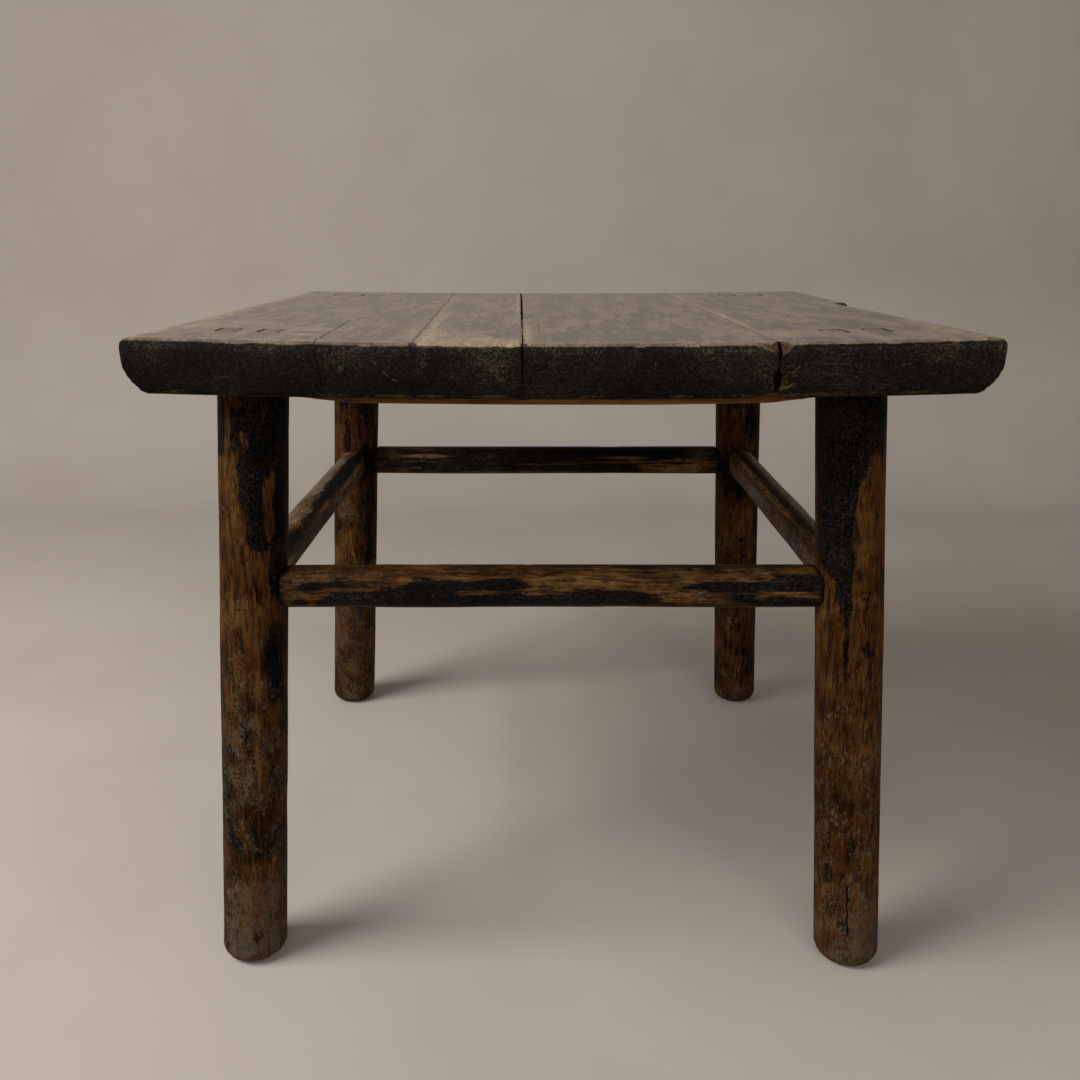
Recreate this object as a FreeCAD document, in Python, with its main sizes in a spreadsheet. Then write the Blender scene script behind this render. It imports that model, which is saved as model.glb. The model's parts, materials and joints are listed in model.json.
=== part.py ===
"""Square side table of a country pattern: a plank top on four splayed round legs.

Millimetres, +Z up. The origin lies on the floor under the centre of the top, and the front faces -Y.
Four planks run front to back and are held flat by two dovetailed battens. Each leg goes through the
top with two wedged tenons. Four stretchers at one height are scribed over the legs: the side ones
with wedged through tenons, the front and back ones with blind tenons.
"""
import FreeCAD
import Part
import math
import os
import Sketcher

DRIVING_SIZES = {
    # the whole table
    "top_width": 620,
    "top_depth": 620,
    "table_height": 540,
    # the planks of the top, whose joints run a little askew
    "top_thickness": 41,
    "left_board_front": 205,
    "left_board_back": 186,
    "narrow_board_front": 77,
    "narrow_board_back": 84,
    "right_board_front": 159,
    "right_board_back": 170,
    "board_gap": 0.6,
    # the worn moulding round the top: a small round, an upright band, then a large round that ends
    # in a small one, which meets the underside at the inset
    "edge_top_round": 8,
    "edge_band": 1,
    "edge_inset": 16,
    "edge_under_round": 8.5,
    "corner_round": 5,
    # the pins in the plank joints
    "pin_dia": 6,
    "pin_length": 40,
    "pin_end_inset": 60,
    # the legs: insets are from the top's edge to the leg's axis at the underside
    "leg_top_dia": 54.3,
    "leg_foot_dia": 54,
    "leg_inset_left": 72,
    "leg_inset_right": 85,
    "leg_inset_end": 77,
    "foot_round": 12,
    # how far each hand-set leg leans out by the time it meets the floor
    "front_left_splay_side": 31,
    "front_left_splay_end": 26,
    "front_right_splay_side": 29,
    "front_right_splay_end": 32,
    "back_left_splay_side": 33.5,
    "back_left_splay_end": 26,
    "back_right_splay_side": 26,
    "back_right_splay_end": 26,
    # the two tenons on each leg and their wedges
    "leg_tenon_thick": 14,
    "leg_tenon_shoulder": 4,
    "leg_tenon_corner_room": 1.5,
    "leg_wedge_thick": 4,
    "leg_wedge_tip": 1,
    "leg_wedge_depth": 24,
    # the stretchers
    "stretcher_height": 335,
    "stretcher_tall": 33.5,
    "stretcher_thick": 29,
    "stretcher_round": 12,
    "through_tenon_thick": 16,
    "through_tenon_tall": 21,
    "through_tenon_inset": 1.8,
    "stretcher_wedge_thick": 4,
    "stretcher_wedge_tip": 1,
    "stretcher_wedge_depth": 18,
    "blind_tenon_thick": 14,
    "blind_tenon_tall": 24,
    "blind_tenon_room": 2,
    # the battens
    "batten_leg_gap": 8,
    "batten_thick": 36,
    "batten_drop": 20,
    "batten_end_drop": 9,
    "batten_taper": 110,
    "batten_setback": 30,
    "dovetail_depth": 10,
    "dovetail_neck": 28,
    "dovetail_width": 34,
    # clearance of every fit, and how far a moulding cut stands clear of the wood
    "joint_gap": 0.2,
    "cut_margin": 5,
}

LEFT, RIGHT = -1, 1
FRONT, BACK = -1, 1
SIDE_NAMES = {LEFT: "left", RIGHT: "right"}
END_NAMES = {FRONT: "front", BACK: "back"}
TURN_LEFT, TURN_RIGHT = 1, -1
SAME_PLACE = 0.01


class Size:
    """A length as both its value and the sheet expression that gives it."""

    def __init__(self, value, text):
        self.value = value
        self.text = text

    def __add__(self, other):
        return Size(self.value + value_of(other), f"({self.text} + {text_of(other)})")

    def __sub__(self, other):
        return Size(self.value - value_of(other), f"({self.text} - {text_of(other)})")

    def __mul__(self, other):
        return Size(self.value * value_of(other), f"({self.text} * {text_of(other)})")

    def __truediv__(self, other):
        return Size(self.value / value_of(other), f"({self.text} / {text_of(other)})")

    def __rsub__(self, other):
        return as_size(other) - self

    def __neg__(self):
        return Size(-self.value, f"(-{self.text})")

    __radd__ = __add__
    __rmul__ = __mul__


def value_of(size):
    return size.value if isinstance(size, Size) else size


def text_of(size):
    return size.text if isinstance(size, Size) else f"({size})"


def as_size(number):
    return number if isinstance(number, Size) else Size(number, f"({number})")


def root(size):
    return Size(math.sqrt(size.value), f"sqrt({size.text})")


doc = FreeCAD.newDocument("square_side_table")
sheet = doc.addObject("Spreadsheet::Sheet", "dims")
for row, (alias, number) in enumerate(DRIVING_SIZES.items(), start=1):
    sheet.set(f"A{row}", alias)
    sheet.set(f"B{row}", str(number))
    sheet.setAlias(f"B{row}", alias)
doc.recompute()


class Dims:
    """The sheet's sizes by name."""


for alias, number in DRIVING_SIZES.items():
    setattr(Dims, alias, Size(number, f"dims.{alias}"))

# Levels, edges and places that several pieces share.
GAP = Dims.joint_gap
TOP = Dims.table_height
UNDERSIDE = Dims.table_height - Dims.top_thickness
SIDE_EDGE = Dims.top_width / 2
END_EDGE = Dims.top_depth / 2
RAIL_LEVEL = Dims.stretcher_height
LEG_INSETS = {LEFT: Dims.leg_inset_left, RIGHT: Dims.leg_inset_right}
BATTEN_END = SIDE_EDGE - Dims.batten_setback
BATTEN_INSET = Dims.leg_inset_end + Dims.leg_top_dia / 2 + Dims.batten_leg_gap + Dims.batten_thick / 2

# The three plank joints, each as its x at the front edge and at the back edge.
LEFT_JOINT = (Dims.left_board_front - SIDE_EDGE, Dims.left_board_back - SIDE_EDGE)
MIDDLE_JOINT = (LEFT_JOINT[0] + Dims.narrow_board_front, LEFT_JOINT[1] + Dims.narrow_board_back)
RIGHT_JOINT = (SIDE_EDGE - Dims.right_board_front, SIDE_EDGE - Dims.right_board_back)


def leg_axis(side, end, level):
    """The leg's axis at a height above the floor; it leans out towards the floor both ways."""
    leg_name = f"{END_NAMES[end]}_{SIDE_NAMES[side]}"
    splay_side = getattr(Dims, f"{leg_name}_splay_side")
    splay_end = getattr(Dims, f"{leg_name}_splay_end")
    drop_share = (UNDERSIDE - level) / UNDERSIDE
    x = (SIDE_EDGE - LEG_INSETS[side] + splay_side * drop_share) * side
    y = (END_EDGE - Dims.leg_inset_end + splay_end * drop_share) * end
    return x, y


def leg_radius(level):
    drop_share = (UNDERSIDE - level) / UNDERSIDE
    return (Dims.leg_top_dia + (Dims.leg_foot_dia - Dims.leg_top_dia) * drop_share) / 2


def side_rail_x(side):
    """A side stretcher runs midway between the axes of its two legs."""
    return (leg_axis(side, FRONT, RAIL_LEVEL)[0] + leg_axis(side, BACK, RAIL_LEVEL)[0]) / 2


def end_rail_y(end):
    """A front or back stretcher runs midway between the axes of its two legs."""
    return (leg_axis(LEFT, end, RAIL_LEVEL)[1] + leg_axis(RIGHT, end, RAIL_LEVEL)[1]) / 2


def leg_tenon_places(side, end):
    """Centres of a leg's two tenons, whose outer faces leave the shoulder's width of the leg."""
    x, y = leg_axis(side, end, UNDERSIDE)
    offset = Dims.leg_top_dia / 2 - Dims.leg_tenon_shoulder - Dims.leg_tenon_thick / 2
    return [(x - offset, y), (x + offset, y)]


def leg_tenon_length():
    """Longest tenon whose corners stay inside the round leg."""
    radius = Dims.leg_top_dia / 2
    face = radius - Dims.leg_tenon_shoulder
    return (root(radius * radius - face * face) - Dims.leg_tenon_corner_room) * 2


def through_tenon_end(side, end):
    """The y where a side stretcher's tenon ends, just inside the far face of the leg."""
    y = leg_axis(side, end, RAIL_LEVEL)[1]
    return y + (leg_radius(RAIL_LEVEL) - Dims.through_tenon_inset) * end


def blind_mortise_end(side):
    """The x where a blind mortise stops, short of the through tenon that crosses it."""
    crossing_face = Dims.through_tenon_thick / 2 + GAP
    return side_rail_x(side) - (crossing_face + Dims.blind_tenon_room) * side


def joint_x(joint, y):
    """The x of a plank joint at a given y."""
    front, back = joint
    return front + (back - front) * ((y + END_EDGE) / Dims.top_depth)


def new_body(label):
    body = doc.addObject("PartDesign::Body", label)
    body.Label = label
    return body


def new_sketch(body, name, role, offset=0):
    """An empty sketch on one of the body's own planes, moved along that plane's normal."""
    sketch = body.newObject("Sketcher::SketchObject", f"{body.Name}_{name}")
    plane = next(item for item in body.Origin.OriginFeatures if item.Role == role)
    sketch.AttachmentSupport = [(plane, "")]
    sketch.MapMode = "FlatFace"
    sketch.setExpression("AttachmentOffset.Base.z", text_of(offset))
    return sketch


def bind(sketch, kind, places, size):
    """Adds a dimension and ties it to the sheet."""
    number = sketch.addConstraint(Sketcher.Constraint(kind, *places, value_of(size)))
    sketch.setExpression(f"Constraints[{number}]", text_of(size))


def flat_point(x, y):
    return FreeCAD.Vector(value_of(x), value_of(y), 0)


def angle_from(centre, spot):
    return math.atan2(spot.y - centre.y, spot.x - centre.x)


def segment(start, finish, radius, turn):
    """The line, or the arc that turns the given way, from one point to the next."""
    if radius is None:
        return Part.LineSegment(start, finish)
    chord = finish - start
    to_centre = FreeCAD.Vector(-chord.y, chord.x, 0) * (turn / chord.Length)
    reach = math.sqrt(max(value_of(radius) ** 2 - (chord.Length / 2) ** 2, 0))
    centre = (start + finish) / 2 + to_centre * reach
    # an arc in a sketch always runs counter-clockwise, so one that turns right is drawn backwards
    first, last = (start, finish) if turn == TURN_LEFT else (finish, start)
    from_angle, to_angle = angle_from(centre, first), angle_from(centre, last)
    if to_angle < from_angle:
        to_angle += 2 * math.pi
    circle = Part.Circle(centre, FreeCAD.Vector(0, 0, 1), value_of(radius))
    return Part.ArcOfCircle(circle, from_angle, to_angle)


def draw_loop(sketch, points):
    """A closed outline. A point is (x, y), or (x, y, radius, turn) where an arc leaves it."""
    spots = [flat_point(point[0], point[1]) for point in points]
    ends = []
    for index, point in enumerate(points):
        radius, turn = point[2:] if len(point) > 2 else (None, None)
        start, finish = spots[index], spots[(index + 1) % len(spots)]
        geometry = sketch.addGeometry(segment(start, finish, radius, turn))
        flipped = (sketch.Geometry[geometry].StartPoint - start).Length > (
            sketch.Geometry[geometry].EndPoint - start).Length
        ends.append((geometry, 2, 1) if flipped else (geometry, 1, 2))
    for index, (geometry, _, last) in enumerate(ends):
        next_geometry, next_first, _ = ends[(index + 1) % len(ends)]
        sketch.addConstraint(Sketcher.Constraint("Coincident", geometry, last, next_geometry, next_first))
    for point, (geometry, first, _) in zip(points, ends):
        bind(sketch, "DistanceX", (-1, 1, geometry, first), point[0])
        bind(sketch, "DistanceY", (-1, 1, geometry, first), point[1])
        if len(point) > 2:
            bind(sketch, "Radius", (geometry,), point[2])


def draw_circle(sketch, x, y, radius):
    circle = sketch.addGeometry(Part.Circle(flat_point(x, y), FreeCAD.Vector(0, 0, 1), value_of(radius)))
    bind(sketch, "DistanceX", (-1, 1, circle, 3), x)
    bind(sketch, "DistanceY", (-1, 1, circle, 3), y)
    bind(sketch, "Radius", (circle,), radius)


def rectangle(x, y, width, height):
    """Corners of a rectangle about a centre."""
    return [
        (x - width / 2, y - height / 2),
        (x + width / 2, y - height / 2),
        (x + width / 2, y + height / 2),
        (x - width / 2, y + height / 2),
    ]


def rounded_rectangle(x, y, width, height, radius):
    """The outline of a rounded bar about a centre."""
    across, up = width / 2, height / 2
    return [
        (x - across + radius, y - up),
        (x + across - radius, y - up, radius, TURN_LEFT),
        (x + across, y - up + radius),
        (x + across, y + up - radius, radius, TURN_LEFT),
        (x + across - radius, y + up),
        (x - across + radius, y + up, radius, TURN_LEFT),
        (x - across, y + up - radius),
        (x - across, y - up + radius, radius, TURN_LEFT),
    ]


def upright_wedge(y, level, thick, tip, depth):
    """A wedge driven downwards: thick at its level, thin at its foot."""
    return [
        (y - tip / 2, level - depth),
        (y + tip / 2, level - depth),
        (y + thick / 2, level),
        (y - thick / 2, level),
    ]


def level_wedge(y_end, end, level, thick, tip, depth):
    """A wedge driven inwards from the end of a tenon that lies along y."""
    inner = y_end - depth * end
    return [
        (inner, level - tip / 2),
        (y_end, level - thick / 2),
        (y_end, level + thick / 2),
        (inner, level + tip / 2),
    ]


def edge_waste(edge, outward):
    """The two pieces of waste that the moulding of one edge takes off, seen along that edge."""
    clear = edge + Dims.cut_margin * outward
    over, under = TOP + Dims.cut_margin, UNDERSIDE - Dims.cut_margin
    upper = Dims.edge_top_round
    # where the large round starts, and its radius, which lets it run into the small one with no crease
    start = TOP - upper - Dims.edge_band
    small = Dims.edge_under_round
    rise = start - UNDERSIDE - small
    reach = Dims.edge_inset - small
    between_centres = (rise * rise + reach * reach) / (reach * 2)
    large = between_centres + small
    share = large / between_centres
    upper_waste = [
        (edge - upper * outward, TOP, upper, TURN_RIGHT * outward),
        (edge, TOP - upper),
        (clear, TOP - upper),
        (clear, over),
        (edge - upper * outward, over),
    ]
    lower_waste = [
        (edge - Dims.edge_inset * outward, UNDERSIDE, small, TURN_LEFT * outward),
        (edge - reach * share * outward, start - rise * share, large, TURN_LEFT * outward),
        (edge, start),
        (clear, start),
        (clear, under),
        (edge - Dims.edge_inset * outward, under),
    ]
    return [upper_waste, lower_waste]


def dovetail(y, clearance):
    """Section of a batten's dovetail, or of its slot when a clearance is given."""
    neck = Dims.dovetail_neck / 2 + clearance
    wide = Dims.dovetail_width / 2 + clearance
    return [
        (y - neck, UNDERSIDE),
        (y + neck, UNDERSIDE),
        (y + wide, UNDERSIDE + Dims.dovetail_depth + clearance),
        (y - wide, UNDERSIDE + Dims.dovetail_depth + clearance),
    ]


def pad(body, sketch, length, symmetric=True):
    feature = body.newObject("PartDesign::Pad", f"{sketch.Name}_pad")
    feature.Profile = sketch
    feature.SideType = "Symmetric" if symmetric else "One side"
    feature.setExpression("Length", text_of(length))
    doc.recompute()
    return feature


def pocket(body, sketch, length=None, symmetric=True, reverse=False):
    """Cuts a sketch out of the body, all the way through unless a length is given."""
    before = body.Shape.Volume
    feature = body.newObject("PartDesign::Pocket", f"{sketch.Name}_pocket")
    feature.Profile = sketch
    feature.SideType = "Symmetric" if symmetric else "One side"
    feature.Reversed = reverse
    if length is None:
        feature.Type = "ThroughAll"
    else:
        feature.Type = "Length"
        feature.setExpression("Length", text_of(length))
    doc.recompute()
    if not feature.Shape.Volume < before:
        raise RuntimeError(f"{feature.Name} cuts nothing")
    return feature


def round_edges(body, base, name, radius, wanted):
    """Fillets the edges of a feature that a test picks out."""
    edges = [f"Edge{number}" for number, edge in enumerate(base.Shape.Edges, start=1) if wanted(edge)]
    feature = body.newObject("PartDesign::Fillet", f"{body.Name}_{name}")
    feature.Base = (base, edges)
    feature.setExpression("Radius", text_of(radius))
    doc.recompute()
    return feature


def leg_cone(body, kind, name, side, end, clearance):
    """The round leaning post of a leg, running a little past the floor and the underside."""
    foot, head = -Dims.cut_margin, UNDERSIDE + Dims.cut_margin
    foot_x, foot_y = leg_axis(side, end, foot)
    head_x, head_y = leg_axis(side, end, head)
    run_x, run_y, rise = head_x - foot_x, head_y - foot_y, head - foot
    lean = root(run_x * run_x + run_y * run_y)
    cone = body.newObject(f"PartDesign::{kind}", f"{body.Name}_{name}")
    cone.setExpression("Radius1", text_of(leg_radius(foot) + clearance))
    cone.setExpression("Radius2", text_of(leg_radius(head) + clearance))
    cone.setExpression("Height", text_of(root(lean * lean + rise * rise)))
    place = f"vector({foot_x.text}; {foot_y.text}; {foot.text})"
    turn = f"rotation(vector({(-run_y).text}; {run_x.text}; 0); atan({(lean / rise).text}))"
    cone.setExpression("Placement", f"placement({place}; {turn})")
    doc.recompute()
    return cone


def trim_leg(body, side, end):
    """Cuts the post off flat at the floor and at the underside."""
    width = Dims.leg_top_dia + Dims.leg_foot_dia
    levels = {"floor": as_size(0), "underside": UNDERSIDE}
    for name, level in levels.items():
        x, y = leg_axis(side, end, level)
        waste = new_sketch(body, f"{name}_trim", "XY_Plane", level)
        draw_loop(waste, rectangle(x, y, width, width))
        feature = pocket(body, waste, symmetric=False, reverse=name == "underside")
    return feature


def make_leg(side, end):
    """A round leaning leg with a rounded foot, two tenons on top and the mortises for two stretchers."""
    body = new_body(f"{END_NAMES[end]}_{SIDE_NAMES[side]}_leg")
    leg_cone(body, "AdditiveCone", "post", side, end, as_size(0))
    post = trim_leg(body, side, end)

    def on_floor(edge):
        return max(abs(edge.BoundBox.ZMin), abs(edge.BoundBox.ZMax)) < SAME_PLACE

    round_edges(body, post, "foot", Dims.foot_round, on_floor)

    tenons = new_sketch(body, "tenons", "XY_Plane", UNDERSIDE)
    for x, y in leg_tenon_places(side, end):
        draw_loop(tenons, rectangle(x, y, Dims.leg_tenon_thick, leg_tenon_length()))
    pad(body, tenons, Dims.top_thickness, symmetric=False)

    kerf = new_sketch(body, "wedge_kerf", "YZ_Plane")
    kerf_y = leg_axis(side, end, UNDERSIDE)[1]
    draw_loop(kerf, upright_wedge(
        kerf_y, TOP, Dims.leg_wedge_thick, Dims.leg_wedge_tip, Dims.leg_wedge_depth))
    pocket(body, kerf)

    through = new_sketch(body, "through_mortise", "XZ_Plane")
    draw_loop(through, rectangle(
        side_rail_x(side), RAIL_LEVEL,
        Dims.through_tenon_thick + GAP * 2, Dims.through_tenon_tall + GAP * 2))
    pocket(body, through)

    blind = new_sketch(body, "blind_mortise", "YZ_Plane", blind_mortise_end(side))
    draw_loop(blind, rectangle(
        end_rail_y(end), RAIL_LEVEL,
        Dims.blind_tenon_thick + GAP * 2, Dims.blind_tenon_tall + GAP * 2))
    pocket(body, blind, symmetric=False, reverse=side == LEFT)
    return body


def make_leg_wedges(side, end):
    """One wedge in the end of each of a leg's two tenons."""
    wedges = []
    for tenon_side, (x, y) in zip((LEFT, RIGHT), leg_tenon_places(side, end)):
        name = f"{END_NAMES[end]}_{SIDE_NAMES[side]}_leg_{SIDE_NAMES[tenon_side]}_wedge"
        body = new_body(name)
        sketch = new_sketch(body, "section", "YZ_Plane", x)
        draw_loop(sketch, upright_wedge(
            y, TOP, Dims.leg_wedge_thick, Dims.leg_wedge_tip, Dims.leg_wedge_depth))
        pad(body, sketch, Dims.leg_tenon_thick)
        wedges.append(body)
    return wedges


def make_end_stretcher(end):
    """A front or back stretcher, scribed over the two legs, with a blind tenon at each end."""
    body = new_body(f"{END_NAMES[end]}_stretcher")
    y = end_rail_y(end)
    left_x = leg_axis(LEFT, end, RAIL_LEVEL)[0]
    right_x = leg_axis(RIGHT, end, RAIL_LEVEL)[0]
    bar = new_sketch(body, "bar", "YZ_Plane", (left_x + right_x) / 2)
    draw_loop(bar, rounded_rectangle(
        y, RAIL_LEVEL, Dims.stretcher_thick, Dims.stretcher_tall, Dims.stretcher_round))
    pad(body, bar, right_x - left_x)
    for side in (LEFT, RIGHT):
        leg_cone(body, "SubtractiveCone", f"{SIDE_NAMES[side]}_scribe", side, end, GAP)

    left_end = blind_mortise_end(LEFT) + GAP
    right_end = blind_mortise_end(RIGHT) - GAP
    tenon = new_sketch(body, "tenon", "YZ_Plane", (left_end + right_end) / 2)
    draw_loop(tenon, rectangle(y, RAIL_LEVEL, Dims.blind_tenon_thick, Dims.blind_tenon_tall))
    pad(body, tenon, right_end - left_end)
    return body


def stretcher_wedge_outline(side, end):
    return level_wedge(
        through_tenon_end(side, end), end, RAIL_LEVEL,
        Dims.stretcher_wedge_thick, Dims.stretcher_wedge_tip, Dims.stretcher_wedge_depth)


def make_side_stretcher(side):
    """A side stretcher, scribed over the two legs, whose tenons go through them and take wedges."""
    body = new_body(f"{SIDE_NAMES[side]}_stretcher")
    x = side_rail_x(side)
    front_y = leg_axis(side, FRONT, RAIL_LEVEL)[1]
    back_y = leg_axis(side, BACK, RAIL_LEVEL)[1]
    bar = new_sketch(body, "bar", "XZ_Plane", -(front_y + back_y) / 2)
    draw_loop(bar, rounded_rectangle(
        x, RAIL_LEVEL, Dims.stretcher_thick, Dims.stretcher_tall, Dims.stretcher_round))
    pad(body, bar, back_y - front_y)
    for end in (FRONT, BACK):
        leg_cone(body, "SubtractiveCone", f"{END_NAMES[end]}_scribe", side, end, GAP)

    front_end, back_end = through_tenon_end(side, FRONT), through_tenon_end(side, BACK)
    tenon = new_sketch(body, "tenon", "XZ_Plane", -(front_end + back_end) / 2)
    draw_loop(tenon, rectangle(x, RAIL_LEVEL, Dims.through_tenon_thick, Dims.through_tenon_tall))
    pad(body, tenon, back_end - front_end)
    kerfs = new_sketch(body, "wedge_kerfs", "YZ_Plane")
    for end in (FRONT, BACK):
        draw_loop(kerfs, stretcher_wedge_outline(side, end))
    pocket(body, kerfs)
    return body


def make_stretcher_wedge(side, end):
    """The wedge in one end of a side stretcher."""
    body = new_body(f"{SIDE_NAMES[side]}_stretcher_{END_NAMES[end]}_wedge")
    sketch = new_sketch(body, "section", "YZ_Plane", side_rail_x(side))
    draw_loop(sketch, stretcher_wedge_outline(side, end))
    pad(body, sketch, Dims.through_tenon_thick)
    return body


def make_batten(end):
    """A batten across the planks, with a dovetail along its top and ends that taper away."""
    body = new_body(f"{END_NAMES[end]}_batten")
    y = (END_EDGE - BATTEN_INSET) * end
    bar = new_sketch(body, "bar", "XZ_Plane", -y)
    full = BATTEN_END - Dims.batten_taper
    draw_loop(bar, [
        (-BATTEN_END, UNDERSIDE - Dims.batten_end_drop),
        (-full, UNDERSIDE - Dims.batten_drop),
        (full, UNDERSIDE - Dims.batten_drop),
        (BATTEN_END, UNDERSIDE - Dims.batten_end_drop),
        (BATTEN_END, UNDERSIDE),
        (-BATTEN_END, UNDERSIDE),
    ])
    pad(body, bar, Dims.batten_thick)
    tongue = new_sketch(body, "tongue", "YZ_Plane")
    draw_loop(tongue, dovetail(y, as_size(0)))
    pad(body, tongue, BATTEN_END * 2)
    return body


def pin_places(joint):
    """Centres of the three pins in a plank joint, at half the plank's thickness."""
    end_y = END_EDGE - Dims.pin_end_inset
    level = TOP - Dims.top_thickness / 2
    return [(joint_x(joint, y), y, level) for y in (-end_y, as_size(0), end_y)]


def make_board(label, left, right, outer=None):
    """A plank between two joints, or between a joint and the outer edge on the side that is given."""
    body = new_body(label)
    half_gap = Dims.board_gap / 2
    left_gap = 0 if outer == LEFT else half_gap
    right_gap = 0 if outer == RIGHT else half_gap
    plan = new_sketch(body, "plan", "XY_Plane", UNDERSIDE)
    draw_loop(plan, [
        (left[0] + left_gap, -END_EDGE),
        (right[0] - right_gap, -END_EDGE),
        (right[1] - right_gap, END_EDGE),
        (left[1] + left_gap, END_EDGE),
    ])
    blank = pad(body, plan, Dims.top_thickness, symmetric=False)

    if outer:
        edge_x = value_of(SIDE_EDGE) * outer

        def at_table_corner(edge):
            box = edge.BoundBox
            farthest = max(abs(box.XMin - edge_x), abs(box.XMax - edge_x))
            return farthest < SAME_PLACE and box.YLength < SAME_PLACE

        round_edges(body, blank, "corners", Dims.corner_round, at_table_corner)
        side_moulding = new_sketch(body, "side_moulding", "XZ_Plane")
        for waste in edge_waste(SIDE_EDGE * outer, outer):
            draw_loop(side_moulding, waste)
        pocket(body, side_moulding)

    end_moulding = new_sketch(body, "end_moulding", "YZ_Plane")
    for end in (FRONT, BACK):
        for waste in edge_waste(END_EDGE * end, end):
            draw_loop(end_moulding, waste)
    pocket(body, end_moulding)

    slot_end = (BATTEN_END + GAP) * outer if outer else 0
    slots = new_sketch(body, "batten_slots", "YZ_Plane", slot_end)
    for end in (FRONT, BACK):
        draw_loop(slots, dovetail((END_EDGE - BATTEN_INSET) * end, GAP))
    pocket(body, slots, symmetric=not outer, reverse=outer == LEFT)

    if outer:
        mortises = new_sketch(body, "leg_mortises", "XY_Plane", UNDERSIDE)
        for end in (FRONT, BACK):
            for x, y in leg_tenon_places(outer, end):
                draw_loop(mortises, rectangle(
                    x, y, Dims.leg_tenon_thick + GAP * 2, leg_tenon_length() + GAP * 2))
        pocket(body, mortises)

    joints = [edge for edge, side in ((left, LEFT), (right, RIGHT)) if side != outer]
    for joint_number, joint in enumerate(joints, start=1):
        for pin_number, (x, y, level) in enumerate(pin_places(joint), start=1):
            hole = new_sketch(body, f"pin_hole_{joint_number}_{pin_number}", "YZ_Plane", x)
            draw_circle(hole, y, level, Dims.pin_dia / 2 + GAP)
            pocket(body, hole, length=Dims.pin_length + GAP * 2)
    return body


def make_pins(label, joint):
    """The three pins that line up two planks."""
    pins = []
    for number, (x, y, level) in enumerate(pin_places(joint), start=1):
        pin = doc.addObject("Part::Cylinder", f"{label}_{number}")
        pin.setExpression("Radius", text_of(Dims.pin_dia / 2))
        pin.setExpression("Height", text_of(Dims.pin_length))
        pin.Placement.Rotation = FreeCAD.Rotation(FreeCAD.Vector(0, 1, 0), 90)
        pin.setExpression("Placement.Base.x", text_of(x - Dims.pin_length / 2))
        pin.setExpression("Placement.Base.y", text_of(y))
        pin.setExpression("Placement.Base.z", text_of(level))
        pins.append(pin)
    group = doc.addObject("Part::Compound", label)
    group.Label = label
    group.Links = pins
    return group


def make_table():
    """Every piece of the table, in the order it goes together."""
    outer_left = (-SIDE_EDGE, -SIDE_EDGE)
    outer_right = (SIDE_EDGE, SIDE_EDGE)
    pieces = [
        make_board("left_board", outer_left, LEFT_JOINT, LEFT),
        make_board("narrow_board", LEFT_JOINT, MIDDLE_JOINT),
        make_board("middle_board", MIDDLE_JOINT, RIGHT_JOINT),
        make_board("right_board", RIGHT_JOINT, outer_right, RIGHT),
        make_pins("left_joint_pins", LEFT_JOINT),
        make_pins("middle_joint_pins", MIDDLE_JOINT),
        make_pins("right_joint_pins", RIGHT_JOINT),
    ]
    for end in (FRONT, BACK):
        pieces.append(make_batten(end))
        pieces.append(make_end_stretcher(end))
        for side in (LEFT, RIGHT):
            pieces.append(make_leg(side, end))
            pieces.extend(make_leg_wedges(side, end))
    for side in (LEFT, RIGHT):
        pieces.append(make_side_stretcher(side))
        for end in (FRONT, BACK):
            pieces.append(make_stretcher_wedge(side, end))
    return pieces


def check_table(pieces):
    """Stops if any feature failed or any piece is empty or not valid."""
    doc.recompute()
    for item in doc.Objects:
        if "Invalid" in item.State or "Error" in item.State:
            raise RuntimeError(f"{item.Name} failed: {item.State}")
    for piece in pieces:
        if piece.Shape.isNull() or not piece.Shape.isValid():
            raise RuntimeError(f"{piece.Label} has no valid shape")


table = make_table()
check_table(table)
os.makedirs("parts", exist_ok=True)
for piece in table:
    piece.Shape.exportStep(f"parts/{piece.Label}.step")
    print(f"{piece.Label}: {len(piece.Shape.Solids)} solid(s), {piece.Shape.Volume / 1000:.1f} cm3")
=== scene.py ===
"""Looks of the square side table: worn black lacquer over brown wood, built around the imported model.

Metres, in the model's own frame: +Z up, the front faces -Y, the floor is at zero.
Every node is replaced by a finer copy of itself that is rounded, dented, chipped and sagged.
"""
import itertools
import json
import math

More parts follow.
